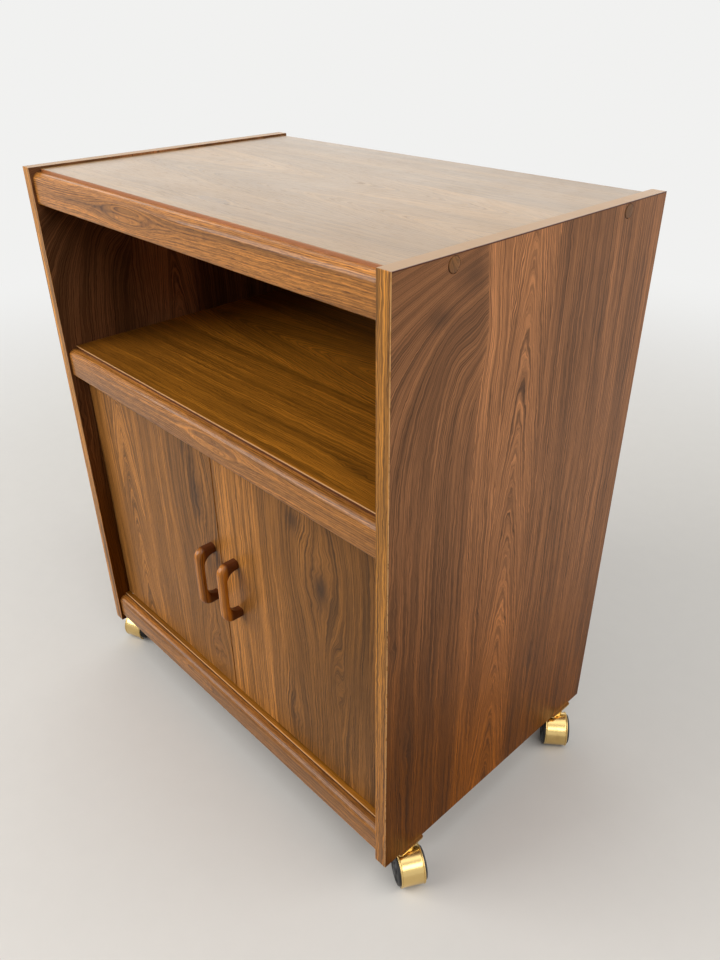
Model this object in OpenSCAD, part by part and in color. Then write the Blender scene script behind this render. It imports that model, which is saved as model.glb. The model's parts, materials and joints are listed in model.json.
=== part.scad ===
// Rolling media cabinet: two side panels, three level panels with rounded rails,
// an open bay over a pair of inset doors, and four hooded twin-wheel casters.
// Millimetres. +Z up, front towards -Y, origin on the floor under the middle of the whole object.

/* [Cabinet] */
// Width over the side panels
cab_w = 610; // [450:1:900]
// Depth of the side panels
cab_d = 386; // [300:1:500]
// Height of the side panels
side_h = 684; // [560:1:900]
// Thickness of the boards
board_t = 16; // [15:0.5:20]
// Thickness of the taped front edge of a side panel
band_t = 0.5; // [0.4:0.1:1]
// How far the side panels stand above the top panel
top_lip = 2.5; // [0:0.5:6]
// Setback of the level panels' front edges from the side panels' front edges
panel_setback = 14; // [12:0.5:15]
// Clear height of the open bay
bay_h = 204.5; // [120:0.5:280]
// Height of the cabinet floor above the bottom of the side panels
floor_rise = 48; // [46:0.5:80]

/* [Rails] */
// Height of a rail
rail_h = 36; // [30:0.5:42]
// Setback of a rail's front face from the side panels' front edges
rail_setback = 3; // [1:0.5:4]
// Drop from a panel's surface to the top of its rail
rail_step = 3.5; // [1:0.5:6]
// Radius of the large round-over at the top front of a rail
rail_round = 8; // [4:0.5:9]
// Radius of the small round at the bottom front of a rail
rail_foot_round = 3; // [1:0.5:4]
// Diameter of the dowel at each end of a rail
rail_dowel_d = 6; // [4:0.5:7]

/* [Back] */
// Thickness of the back panel
back_t = 3; // [2:0.5:5]
// Recess of the back panel from the side panels' rear edges
back_recess = 3; // [1:0.5:8]
// Gap at each edge of the back panel
back_gap = 0.5; // [0.2:0.1:2]
// Nails along each level panel
nail_count = 5; // [3:1:9]

/* [Doors] */
// Thickness of a door
door_t = 16; // [15:0.5:20]
// Setback of the doors' faces from the side panels' front edges
door_setback = 20; // [19:0.5:26]
// Gap between a door and the side panel
door_side_gap = 3; // [3:0.5:5]
// Gap between the two doors
door_mid_gap = 1.5; // [1:0.5:4]
// Gap over and under a door
door_end_gap = 2; // [2:0.5:4]
// Distance of the pivot from the door's outer edge
pivot_in = 8; // [8:0.5:10]
// Distance of the pivot behind the door's face
pivot_back = 6; // [6:0.5:7]
// Diameter of a pivot pin
pivot_d = 5; // [4:0.5:6]
// Outer diameter of the nylon bush round a pivot pin
bush_d = 8; // [7:0.5:9]
// Length of a nylon bush
bush_len = 15; // [10:1:25]

/* [Pulls] */
// Distance between a pull's screws
pull_pitch = 73; // [64:1:128]
// Width of a pull
pull_w = 13; // [10:0.5:18]
// Reach of a pull from the door's face
pull_reach = 26; // [24:0.5:40]
// Thickness of the grip
grip_t = 9; // [6:0.5:12]
// Height of a pull's foot
foot_h = 12; // [10:0.5:18]
// Outer corner radius of a pull
pull_round = 13; // [6:0.5:16]
// Inner corner radius of a pull
pull_inner_round = 15; // [3:0.5:18]
// Radius of the rounded front edges of the grip
grip_edge_round = 4.5; // [1:0.5:4.5]
// Distance of the left pull's middle from the middle of the cabinet
left_pull_in = 17.5; // [12:0.5:120]
// Distance of the right pull's middle from the middle of the cabinet
right_pull_in = 30; // [12:0.5:120]
// Height of the pulls' middle above the doors' middle
pull_rise = 1.5; // [-60:0.5:60]

/* [Casters] */
// Height from the floor to the bottom of the side panels
caster_h = 50; // [50:0.5:70]
// Diameter of a wheel
wheel_d = 40; // [34:0.5:40.5]
// Width over both wheels of a caster
wheel_span = 36.5; // [30:0.5:44]
// Distance from the swivel axis to the wheel axis
trail = 11; // [8:0.5:14]
// Width of a hood
hood_w = 29.5; // [20:0.5:30]
// Height of a hood's lower edge above the floor
hood_low = 4; // [3:0.5:10]
// Gap between the wheels and the hood
hood_gap = 1.2; // [0.8:0.1:2]
// Thickness of a hood's sheet
hood_t = 1.2; // [0.8:0.1:1.6]
// Diameter of the axle
axle_d = 6; // [5:0.5:7]
// Distance of the swivel axis from the side panel's front or rear edge
caster_inset = 42.5; // [36:0.5:60]
// Distance of the swivel axis outwards of the side panel's middle plane
caster_out = 1.5; // [0:0.5:2.5]
// Length of the caster's plate, along the side panel
plate_len = 39; // [38:0.5:50]
// Width of the caster's plate, across the side panel
plate_w = 19; // [18.5:0.5:30]
// Thickness of the caster's plate
plate_t = 2; // [1.5:0.5:3]
// Distance between the plate's screws
plate_pitch = 28; // [26:0.5:30]
// Turn of the front left caster, from +X towards +Y
turn_fl = -70; // [-180:1:180]
// Turn of the front right caster
turn_fr = -30; // [-180:1:180]
// Turn of the rear left caster
turn_rl = -150; // [-180:1:180]
// Turn of the rear right caster
turn_rr = -50; // [-180:1:180]

/* [Fixings] */
// Diameter of the screw caps at the ends of the top panel
cap_d = 13; // [11:0.5:15]
// Drop from the side panels' top to the screw caps' middle
cap_drop = 8.5; // [8.5:0.5:14]
// Depth of the recess that a screw cap sits in
cap_recess = 1; // [0.5:0.1:2]
// Gap round a screw cap in its recess
cap_gap = 0.6; // [0.3:0.1:0.7]
// Distance of the screw caps from the side panel's front and rear edges
cap_inset = 68; // [40:1:120]
// Distance of the cam fittings from a level panel's front and rear edges
cam_inset = 50; // [30:1:90]
// Distance from a cam fitting to its dowel
dowel_offset = 32; // [24:1:50]
// Diameter of the dowels in the level panels
dowel_d = 8; // [6:0.5:9]

/* [Hidden] */
$fn = 64;

// Clearances
fit = 0.05;      // round a pressed or screwed piece, each way
running = 0.05;  // round a pin that turns, each way
face_gap = 0.3;  // between flat faces that move past each other
end_gap = 0.5;   // past the end of a dowel, bolt or nail, in its blind hole
hole_over = 1;   // a hole's cutter runs past the face by this much

// Colours
laminate_side = [0.36, 0.22, 0.15];
laminate_top = [0.66, 0.50, 0.36];
laminate_shelf = [0.42, 0.27, 0.12];
laminate_door = [0.52, 0.36, 0.21];
oak_rail = [0.58, 0.38, 0.20];
oak_band = [0.60, 0.40, 0.18];
oak_pull = [0.62, 0.34, 0.14];
hardboard = [0.16, 0.11, 0.08];
beech = [0.80, 0.66, 0.48];
steel = [0.70, 0.70, 0.70];
brass = [0.80, 0.62, 0.32];
nylon = [0.92, 0.90, 0.84];
black_plastic = [0.06, 0.06, 0.06];
cap_brown = [0.40, 0.25, 0.16];

// Main planes
inner_x = cab_w / 2 - board_t;
pull_out = max(0, pull_reach - door_setback);
front_y = -cab_d / 2 + pull_out / 2;
rear_y = front_y + cab_d;
side_z = caster_h;
side_top = side_z + side_h;
panel_y0 = front_y + panel_setback;
back_y0 = rear_y - back_recess - back_t;
top_z = side_top - top_lip;
shelf_z = top_z - board_t - bay_h;
floor_z = side_z + floor_rise;
panel_d = back_y0 - panel_y0;

// Rails
rail_t = panel_setback - rail_setback;
rail_y0 = front_y + rail_setback;
rail_top_r = min(rail_round, rail_t - 1);
rail_dowel_len = 24;
rail_dowel_drop = rail_h / 2;

// Doors
door_y0 = front_y + door_setback;
door_back = door_y0 + door_t;
door_z0 = floor_z + door_end_gap;
door_z1 = shelf_z - rail_step - rail_h - door_end_gap;
door_w = inner_x - door_side_gap - door_mid_gap / 2;
pivot_x = inner_x - door_side_gap - pivot_in;
pivot_y = door_y0 + pivot_back;
pin_reach = bush_len - 2;
pin_seat = board_t - 4;
bush_flange = 1.5;

// Pivot bracket on the side panel, over the door's top edge
leaf_t = 1.5;
leaf_edge = 9;
leaf_w = pivot_in + door_side_gap + leaf_edge;
leaf_len = 26;
leaf_z = door_z1 + 0.8;
leaf_h = shelf_z - board_t - leaf_z - 2;
leaf_y0 = pivot_y - leaf_edge;
bracket_screw_r = 1.75;
bracket_head_r = 3.5;
bracket_screw_len = 12;
bracket_screw_z = leaf_z + leaf_h * 0.6;
bracket_screw_ys = [leaf_y0 + leaf_len / 4, leaf_y0 + leaf_len * 3 / 4];

// Pulls
pull_h = pull_pitch + foot_h;
pull_z = (door_z0 + door_z1) / 2 + pull_rise;
pull_screw_r = 2;
pull_screw_depth = 15;
screw_head_r = 4;
screw_head_h = 2.2;

// Magnetic catch on the cabinet floor, behind the doors' meeting edges
strike_t = 0.8;
strike_w = 18;
strike_h = 12;
strike_x = door_mid_gap / 2 + 4;
catch_ear = 8;
catch_ear_t = 4;
catch_w = 2 * (strike_x + strike_w + catch_ear);
catch_d = 16;
catch_h = 14;
catch_y0 = door_back + strike_t + face_gap;
catch_screw_x = (catch_w - catch_ear) / 2;
catch_head_r = 3;

// Casters
wheel_r = wheel_d / 2;
web_t = 5;
wheel_side_gap = 0.5;
wheel_w = wheel_span / 2 - web_t / 2 - wheel_side_gap;
tread_edge = 1;
shoulder = 3;
rim_low = 0.6;
rim_in = 4;
dish = 1.8;
boss_face_r = 6;
bore_end = 2;
hood_r_in = wheel_r + hood_gap;
hood_r_out = hood_r_in + hood_t;
hood_lip = 0.6;
hood_lip_w = 1.6;
hood_front_turn = -asin((wheel_r - hood_low) / hood_r_out);
hood_rear_turn = 188;
hub_r = axle_d / 2 + 4;
boss_r = 8;
race_r = 9;
race_h = 2.5;
plate_z = caster_h - plate_t;
race_z = plate_z - race_h;
boss_top = race_z - face_gap;
kingpin_r = 3;
kingpin_head_r = 5;
kingpin_head_h = 1;
kingpin_foot_r = 4.2;
kingpin_foot_z = boss_top - 5.2;
kingpin_foot_t = 1;
kingpin_cup = 3;
plate_screw_r = 1.9;
plate_screw_len = 22;
plate_screw_head_r = 3.8;
screw_head_cone = plate_t - 0.2;
plate_corner = 3;
caster_x = cab_w / 2 - board_t / 2 + caster_out;

// Fixings
cap_z = side_top - cap_drop;
cap_proud = 0.3;
cap_slip = 0.5 * cap_gap;
cap_stem_r = cap_d / 2 - 1.6;
cap_stem_len = 2;
screw_bore_r = cap_stem_r + fit;
screw_bore_depth = 8;
top_screw_r = 2.5;
top_screw_head_r = cap_stem_r - 0.4;
top_screw_head_h = 4;
top_screw_len = 48;
top_screw_tip = cab_w / 2 - screw_bore_depth + top_screw_head_h - top_screw_len;
cam_r = 7.5;
cam_slot = 8;
cam_h = board_t / 2 + cam_slot / 2 + 1;
cam_in = 34;
cam_key_w = 9;
cam_key_t = 1.2;
cam_bolt_r = 3;
cam_bolt_side = 11;
cam_head_r = 3.4;
cam_head_t = 3;
cam_head_gap = 2;
dowel_len = 30;
dowel_side = 11;
nail_r = 0.8;
nail_head_r = 2;
nail_head_t = 0.6;
nail_len = 18;
nail_inset = 40;
nail_step = 2 * (inner_x - nail_inset) / (nail_count - 1);
nail_xs = [for (i = [0 : nail_count - 1]) -inner_x + nail_inset + i * nail_step];

FRONT_LEFT = [-1, front_y + caster_inset, turn_fl];
FRONT_RIGHT = [1, front_y + caster_inset, turn_fr];
REAR_LEFT = [-1, rear_y - caster_inset, turn_rl];
REAR_RIGHT = [1, rear_y - caster_inset, turn_rr];
CASTERS = [FRONT_LEFT, FRONT_RIGHT, REAR_LEFT, REAR_RIGHT];

cam_ys = [panel_y0 + cam_inset, back_y0 - cam_inset];
dowel_ys = [cam_ys[0] + dowel_offset, cam_ys[1] - dowel_offset];
cap_ys = [front_y + cap_inset, rear_y - cap_inset];
rail_tops = [top_z - rail_step, shelf_z - rail_step, floor_z - rail_step];

// A cylinder along X from x0 to x1
module rod_x(x0, x1, y, z, r) {
    translate([min(x0, x1), y, z]) rotate([0, 90, 0]) cylinder(h = abs(x1 - x0), r = r);
}

// A cylinder along Y from y0 to y1
module rod_y(x, y0, y1, z, r) {
    translate([x, y1, z]) rotate([90, 0, 0]) cylinder(h = y1 - y0, r = r);
}

// A cylinder along Z from z0 to z1
module rod_z(x, y, z0, z1, r) {
    translate([x, y, z0]) cylinder(h = z1 - z0, r = r);
}

// A rectangle from the origin with the chosen corner radii: front bottom, front top, back
module rounded_bar(w, h, r_low, r_high) {
    difference() {
        square([w, h]);
        square([r_low, r_low]);
        translate([0, h - r_high]) square([r_high, r_high]);
    }
    intersection() {
        translate([r_low, r_low]) circle(r_low);
        square([r_low, r_low]);
    }
    intersection() {
        translate([r_high, h - r_high]) circle(r_high);
        translate([0, h - r_high]) square([r_high, r_high]);
    }
}

// Side panels: side is -1 on the left and 1 on the right
module side_holes(side) {
    face = side * inner_x;
    outer = side * cab_w / 2;
    for (y = cap_ys) {
        rod_x(face - side * hole_over, outer, y, cap_z, top_screw_r + fit);
        rod_x(outer - side * screw_bore_depth, outer + side * hole_over, y, cap_z, screw_bore_r);
        rod_x(outer - side * cap_recess, outer + side * hole_over, y - cap_slip, cap_z, cap_d / 2 + cap_gap);
    }
    for (z = [shelf_z, floor_z]) {
        for (y = cam_ys)
            rod_x(face - side * hole_over, face + side * cam_bolt_side, y, z - board_t / 2,
                  cam_bolt_r + fit);
        for (y = dowel_ys)
            rod_x(face - side * hole_over, face + side * dowel_side, y, z - board_t / 2, dowel_d / 2 + fit);
    }
    for (z = rail_tops)
        rod_x(face - side * hole_over, face + side * dowel_side,
              rail_y0 + rail_t / 2, z - rail_dowel_drop, rail_dowel_d / 2 + fit);
    for (y = bracket_screw_ys)
        rod_x(face - side * hole_over, face + side * bracket_screw_len, y, bracket_screw_z,
              bracket_screw_r + fit);
    for (c = CASTERS)
        if (c[0] == side)
            for (y = [-1, 1])
                rod_z(side * caster_x, c[1] + y * plate_pitch / 2, side_z - hole_over,
                      side_z + plate_screw_len, plate_screw_r + fit);
}

module side_panel(side) {
    x0 = side < 0 ? -cab_w / 2 : inner_x;
    difference() {
        translate([x0, front_y + band_t, side_z]) cube([board_t, cab_d - band_t, side_h]);
        side_holes(side);
    }
}

module edge_band(side) {
    x0 = side < 0 ? -cab_w / 2 : inner_x;
    translate([x0, front_y, side_z]) cube([board_t, band_t, side_h]);
}

module left_side_panel() { color(laminate_side) side_panel(-1); }
module right_side_panel() { color(laminate_side) side_panel(1); }
module left_edge_band() { color(oak_band) edge_band(-1); }
module right_edge_band() { color(oak_band) edge_band(1); }

// A level panel between the side panels, with its upper surface at z
module level_panel(z) {
    translate([-inner_x, panel_y0, z - board_t]) cube([2 * inner_x, panel_d, board_t]);
}

// Holes for the cam fittings and dowels at both ends of a level panel
module panel_end_holes(z) {
    mid = z - board_t / 2;
    for (side = [-1, 1]) {
        face = side * inner_x;
        for (y = cam_ys) {
            rod_x(face + side * hole_over, face - side * cam_in, y, mid, cam_head_r + fit);
            rod_z(face - side * cam_in, y, z - board_t - hole_over, z - board_t + cam_h + fit, cam_r + fit);
        }
        for (y = dowel_ys)
            rod_x(face + side * hole_over, face - side * (dowel_len - dowel_side), y, mid,
                  dowel_d / 2 + fit);
    }
}

module top_panel() {
    color(laminate_top) difference() {
        level_panel(top_z);
        for (side = [-1, 1])
            for (y = cap_ys)
                rod_x(side * (inner_x + hole_over), side * top_screw_tip, y, cap_z, top_screw_r + fit);
        for (x = nail_xs)
            nail_hole(x, top_z);
    }
}

module middle_shelf() {
    color(laminate_shelf) difference() {
        level_panel(shelf_z);
        panel_end_holes(shelf_z);
        for (x = nail_xs)
            nail_hole(x, shelf_z);
    }
}

module bottom_panel() {
    color(laminate_shelf) difference() {
        level_panel(floor_z);
        panel_end_holes(floor_z);
        for (x = nail_xs)
            nail_hole(x, floor_z);
        for (side = [-1, 1])
            rod_z(side * pivot_x, pivot_y, floor_z - pin_seat, floor_z + hole_over, pivot_d / 2 + fit);
        for (side = [-1, 1])
            rod_z(side * catch_screw_x, catch_y0 + catch_d / 2, floor_z - bracket_screw_len,
                  floor_z + hole_over, bracket_screw_r + fit);
    }
}

// Rails: one moulding, with a large round-over at its top front
module rail(top) {
    difference() {
        translate([-inner_x, rail_y0, top - rail_h])
            rotate([90, 0, 90]) linear_extrude(2 * inner_x)
                rounded_bar(rail_t, rail_h, rail_foot_round, rail_top_r);
        for (side = [-1, 1])
            rod_x(side * (inner_x + hole_over), side * (inner_x - rail_dowel_len + dowel_side),
                  rail_y0 + rail_t / 2, top - rail_dowel_drop, rail_dowel_d / 2 + fit);
    }
}

module top_rail() { color(oak_rail) rail(rail_tops[0]); }
module middle_rail() { color(oak_rail) rail(rail_tops[1]); }
module bottom_rail() { color(oak_rail) rail(rail_tops[2]); }

module rail_dowels() {
    color(beech)
        for (side = [-1, 1])
            for (z = rail_tops)
                rod_x(side * (inner_x + dowel_side - end_gap),
                      side * (inner_x + dowel_side + end_gap - rail_dowel_len),
                      rail_y0 + rail_t / 2, z - rail_dowel_drop, rail_dowel_d / 2);
}

// Back panel and its nails
module nail_hole(x, z) {
    rod_y(x, back_y0 - nail_len, back_y0 + hole_over, z - board_t / 2, nail_r + fit);
}

module back_panel() {
    color(hardboard) difference() {
        translate([-inner_x + back_gap, back_y0, floor_z - board_t])
            cube([2 * (inner_x - back_gap), back_t, top_z - 1 - floor_z + board_t]);
        for (x = nail_xs)
            for (z = [top_z, shelf_z, floor_z])
                rod_y(x, back_y0 - hole_over, rear_y, z - board_t / 2, nail_r + fit);
    }
}

module back_nails() {
    color(steel)
        for (x = nail_xs)
            for (z = [top_z, shelf_z, floor_z]) {
                rod_y(x, back_y0 - nail_len + end_gap, back_y0 + back_t, z - board_t / 2, nail_r);
                rod_y(x, back_y0 + back_t, back_y0 + back_t + nail_head_t, z - board_t / 2, nail_head_r);
            }
}

// Screws through the side panels into the ends of the top panel, and their caps, which sit
// a little towards the rear in their recesses
module top_screws() {
    color(steel)
        for (side = [-1, 1])
            for (y = cap_ys) {
                head = side * (cab_w / 2 - screw_bore_depth);
                rod_x(head, head + side * top_screw_head_h, y, cap_z, top_screw_head_r);
                rod_x(head, side * top_screw_tip, y, cap_z, top_screw_r);
            }
}

module screw_caps() {
    color(cap_brown)
        for (side = [-1, 1])
            for (y = cap_ys) {
                seat = side * (cab_w / 2 - cap_recess);
                rod_x(seat, side * (cab_w / 2 + cap_proud), y, cap_z, cap_d / 2);
                rod_x(seat, seat - side * cap_stem_len, y, cap_z, cap_stem_r);
            }
}

// Cam fittings: a bolt in the side panel, drawn in by a disc in the underside of the panel
module cam_locks() {
    color(steel)
        for (side = [-1, 1])
            for (z = [shelf_z, floor_z])
                for (y = cam_ys)
                    difference() {
                        rod_z(side * (inner_x - cam_in), y, z - board_t, z - board_t + cam_h, cam_r);
                        translate([side * (inner_x - cam_in + cam_r / 2) - cam_r / 2 - 1,
                                   y - cam_slot / 2, z - board_t / 2 - cam_slot / 2])
                            cube([cam_r + 2, cam_slot, cam_slot]);
                        translate([side * (inner_x - cam_in) - cam_key_w / 2, y - cam_key_t / 2,
                                   z - board_t - hole_over])
                            cube([cam_key_w, cam_key_t, cam_key_t + hole_over]);
                    }
}

module cam_bolts() {
    color(steel)
        for (side = [-1, 1])
            for (z = [shelf_z, floor_z])
                for (y = cam_ys) {
                    tip = side * (inner_x - cam_in + cam_head_gap);
                    rod_x(side * (inner_x + cam_bolt_side - end_gap), tip, y, z - board_t / 2, cam_bolt_r);
                    rod_x(tip, tip + side * cam_head_t, y, z - board_t / 2, cam_head_r);
                }
}

module panel_dowels() {
    color(beech)
        for (side = [-1, 1])
            for (z = [shelf_z, floor_z])
                for (y = dowel_ys)
                    rod_x(side * (inner_x + dowel_side - end_gap),
                          side * (inner_x + dowel_side + end_gap - dowel_len),
                          y, z - board_t / 2, dowel_d / 2);
}

// Doors
module door(side, pull_x) {
    x0 = side < 0 ? -door_w - door_mid_gap / 2 : door_mid_gap / 2;
    difference() {
        translate([x0, door_y0, door_z0]) cube([door_w, door_t, door_z1 - door_z0]);
        rod_z(side * pivot_x, pivot_y, door_z0 - hole_over, door_z0 + bush_len, bush_d / 2 + fit);
        rod_z(side * pivot_x, pivot_y, door_z1 - bush_len, door_z1 + hole_over, bush_d / 2 + fit);
        for (k = [-1, 1])
            rod_y(pull_x, door_y0 - hole_over, door_back + hole_over, pull_z + k * pull_pitch / 2,
                  pull_screw_r + fit);
    }
}

module left_door() { color(laminate_door) door(-1, -left_pull_in); }
module right_door() { color(laminate_door) door(1, right_pull_in); }

// D-shaped pull: side outline cut from a bar whose front edges are rounded
module pull(pull_x) {
    z0 = pull_z - pull_h / 2;
    y0 = door_y0 - pull_reach;
    hollow_h = pull_h - 2 * foot_h;
    difference() {
        intersection() {
            translate([pull_x - pull_w / 2, y0, z0])
                rotate([90, 0, 90]) linear_extrude(pull_w)
                    rounded_bar(pull_reach, pull_h, pull_round, pull_round);
            translate([pull_x + pull_w / 2, y0, z0])
                rotate([0, 0, 90]) linear_extrude(pull_h)
                    rounded_bar(pull_reach, pull_w, grip_edge_round, grip_edge_round);
        }
        translate([pull_x - pull_w, y0 + grip_t, z0 + foot_h])
            rotate([90, 0, 90]) linear_extrude(2 * pull_w)
                rounded_bar(pull_reach, hollow_h, pull_inner_round, pull_inner_round);
        for (k = [-1, 1])
            rod_y(pull_x, door_y0 - pull_screw_depth, door_y0 + hole_over,
                  pull_z + k * pull_pitch / 2, pull_screw_r + fit);
    }
}

module pull_screws(pull_x) {
    for (k = [-1, 1]) {
        z = pull_z + k * pull_pitch / 2;
        rod_y(pull_x, door_y0 - pull_screw_depth + end_gap, door_back, z, pull_screw_r);
        rod_y(pull_x, door_back, door_back + screw_head_h, z, screw_head_r);
    }
}

module left_pull() { color(oak_pull) pull(-left_pull_in); }
module right_pull() { color(oak_pull) pull(right_pull_in); }
module left_pull_screws() { color(steel) pull_screws(-left_pull_in); }
module right_pull_screws() { color(steel) pull_screws(right_pull_in); }

// Pivot bracket: a leaf on the side panel, a leaf over the door and a pin down into the door's bush
module pivot_bracket(side) {
    face = side * inner_x;
    difference() {
        union() {
            translate([side < 0 ? face : face - leaf_t, leaf_y0, leaf_z])
                cube([leaf_t, leaf_len, leaf_h]);
            translate([side < 0 ? face : face - leaf_w, leaf_y0, leaf_z])
                cube([leaf_w, leaf_len, leaf_t]);
            rod_z(side * pivot_x, pivot_y, door_z1 - pin_reach, leaf_z + leaf_t, pivot_d / 2);
        }
        for (y = bracket_screw_ys)
            rod_x(face - side * 2 * leaf_t, face + side * hole_over, y, bracket_screw_z,
                  bracket_screw_r + fit);
    }
}

module left_pivot_bracket() { color(steel) pivot_bracket(-1); }
module right_pivot_bracket() { color(steel) pivot_bracket(1); }

module bracket_screws() {
    color(steel)
        for (side = [-1, 1])
            for (y = bracket_screw_ys) {
                leaf = side * (inner_x - leaf_t);
                rod_x(leaf - side * screw_head_h, leaf, y, bracket_screw_z, bracket_head_r);
                rod_x(leaf, side * (inner_x + bracket_screw_len - 1), y, bracket_screw_z, bracket_screw_r);
            }
}

// Pins that stand in the cabinet floor and carry the doors' lower bushes
module bottom_pivot_pins() {
    color(steel)
        for (side = [-1, 1])
            rod_z(side * pivot_x, pivot_y, floor_z - pin_seat, door_z0 + pin_reach, pivot_d / 2);
}

// Nylon bushes in a door's edges; the lower one has a flange that the door turns on
module door_bushes(side) {
    difference() {
        union() {
            rod_z(side * pivot_x, pivot_y, door_z1 - bush_len, door_z1, bush_d / 2);
            rod_z(side * pivot_x, pivot_y, door_z0, door_z0 + bush_len, bush_d / 2);
            rod_z(side * pivot_x, pivot_y, floor_z + face_gap, door_z0, bush_d / 2 + bush_flange);
        }
        rod_z(side * pivot_x, pivot_y, door_z1 - bush_len + 1, door_z1 + hole_over, pivot_d / 2 + running);
        rod_z(side * pivot_x, pivot_y, floor_z, door_z0 + bush_len - 1, pivot_d / 2 + running);
    }
}

module left_door_bushes() { color(nylon) door_bushes(-1); }
module right_door_bushes() { color(nylon) door_bushes(1); }

// Double magnetic catch and the strike plates on the doors
module magnetic_catch() {
    color(nylon) difference() {
        translate([-catch_w / 2, catch_y0, floor_z]) cube([catch_w, catch_d, catch_h]);
        for (x = [-catch_w / 2 - hole_over, catch_w / 2 - catch_ear])
            translate([x, catch_y0 - hole_over, floor_z + catch_ear_t])
                cube([catch_ear + hole_over, catch_d + 2 * hole_over, catch_h]);
        for (side = [-1, 1])
            rod_z(side * catch_screw_x, catch_y0 + catch_d / 2, floor_z - hole_over,
                  floor_z + catch_ear_t + hole_over, bracket_screw_r + fit);
    }
}

module catch_screws() {
    color(steel)
        for (side = [-1, 1]) {
            x = side * catch_screw_x;
            y = catch_y0 + catch_d / 2;
            rod_z(x, y, floor_z + catch_ear_t, floor_z + catch_ear_t + screw_head_h, catch_head_r);
            rod_z(x, y, floor_z - bracket_screw_len + 1, floor_z + catch_ear_t, bracket_screw_r);
        }
}

module strike_plate(side) {
    x0 = side < 0 ? -strike_x - strike_w : strike_x;
    translate([x0, door_back, floor_z + door_end_gap]) cube([strike_w, strike_t, strike_h]);
}

module left_strike_plate() { color(steel) strike_plate(-1); }
module right_strike_plate() { color(steel) strike_plate(1); }

// Casters: local +X points along the trail, the swivel axis is the local Z axis
module at_caster(c) {
    translate([c[0] * caster_x, c[1], 0]) rotate([0, 0, c[2]]) children();
}

// The plate stays square to the side panel, whatever the swivel does
module caster_plate(c) {
    color(brass) translate([c[0] * caster_x, c[1], 0]) difference() {
        union() {
            translate([0, 0, plate_z]) linear_extrude(plate_t) {
                square([plate_w - 2 * plate_corner, plate_len], center = true);
                square([plate_w, plate_len - 2 * plate_corner], center = true);
                for (x = [-1, 1])
                    for (y = [-1, 1])
                        translate([x * (plate_w / 2 - plate_corner), y * (plate_len / 2 - plate_corner)])
                            circle(plate_corner);
            }
            rod_z(0, 0, race_z, plate_z, race_r);
        }
        rod_z(0, 0, race_z - hole_over, caster_h + hole_over, kingpin_r + fit);
        rod_z(0, 0, caster_h - kingpin_head_h, caster_h + hole_over, kingpin_head_r + fit);
        for (y = [-1, 1]) {
            rod_z(0, y * plate_pitch / 2, plate_z - hole_over, caster_h + hole_over, plate_screw_r + fit);
            translate([0, y * plate_pitch / 2, plate_z])
                cylinder(h = screw_head_cone, r1 = plate_screw_head_r + fit, r2 = plate_screw_r + fit);
        }
    }
}

module caster_screws() {
    color(brass)
        for (c = CASTERS)
            for (y = [-1, 1])
                translate([c[0] * caster_x, c[1] + y * plate_pitch / 2, plate_z]) {
                    cylinder(h = screw_head_cone, r1 = plate_screw_head_r, r2 = plate_screw_r);
                    cylinder(h = plate_t + plate_screw_len - 1, r = plate_screw_r);
                }
}

module caster_kingpins() {
    color(steel)
        for (c = CASTERS)
            translate([c[0] * caster_x, c[1], 0]) {
                rod_z(0, 0, kingpin_foot_z, caster_h, kingpin_r);
                rod_z(0, 0, caster_h - kingpin_head_h, caster_h, kingpin_head_r);
                rod_z(0, 0, kingpin_foot_z, kingpin_foot_z + kingpin_foot_t, kingpin_foot_r);
            }
}

// The part of a caster's casting that isn't there: the wedge under the hood's two edges
module hood_mouth() {
    far = 3 * wheel_d;
    translate([trail, 0, wheel_r]) rotate([90, 0, 0]) translate([0, 0, -far])
        linear_extrude(2 * far)
            polygon([
                [0, 0], far * [cos(hood_rear_turn), sin(hood_rear_turn)], [0, -2 * far],
                far * [cos(hood_front_turn), sin(hood_front_turn)]
            ]);
}

// Hood: one casting, with a strip bent over the wheels, a raised lip along each of its edges,
// a web between the wheels that carries the axle, and a boss that turns on the kingpin
module caster_hood(c) {
    color(brass) at_caster(c) difference() {
        union() {
            translate([trail, 0, wheel_r]) rotate([90, 0, 0]) rotate([0, 0, hood_front_turn])
                rotate_extrude(angle = hood_rear_turn - hood_front_turn) {
                    translate([hood_r_in, -hood_w / 2]) square([hood_t, hood_w]);
                    translate([hood_r_in, -hood_w / 2]) square([hood_t + hood_lip, hood_lip_w]);
                    translate([hood_r_in, hood_w / 2 - hood_lip_w])
                        square([hood_t + hood_lip, hood_lip_w]);
                }
            difference() {
                rod_y(trail, -web_t / 2, web_t / 2, wheel_r, hood_r_in + hood_t / 2);
                hood_mouth();
            }
            rod_y(trail, -web_t / 2, web_t / 2, wheel_r, hub_r);
            difference() {
                rod_z(0, 0, wheel_r, boss_top, boss_r);
                rod_y(trail, -2 * boss_r, 2 * boss_r, wheel_r, hood_r_in + hood_t / 2);
                hood_mouth();
            }
        }
        rod_z(0, 0, kingpin_foot_z, boss_top + hole_over, kingpin_r + running);
        rod_z(0, 0, kingpin_foot_z - kingpin_cup, kingpin_foot_z + kingpin_foot_t + face_gap,
              kingpin_foot_r + face_gap);
        rod_y(trail, -web_t, web_t, wheel_r, axle_d / 2 + fit);
    }
}

module caster_axle(c) {
    reach = web_t / 2 + wheel_side_gap + wheel_w - bore_end - 1;
    color(steel) at_caster(c) rod_y(trail, -reach, reach, wheel_r, axle_d / 2);
}

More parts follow.
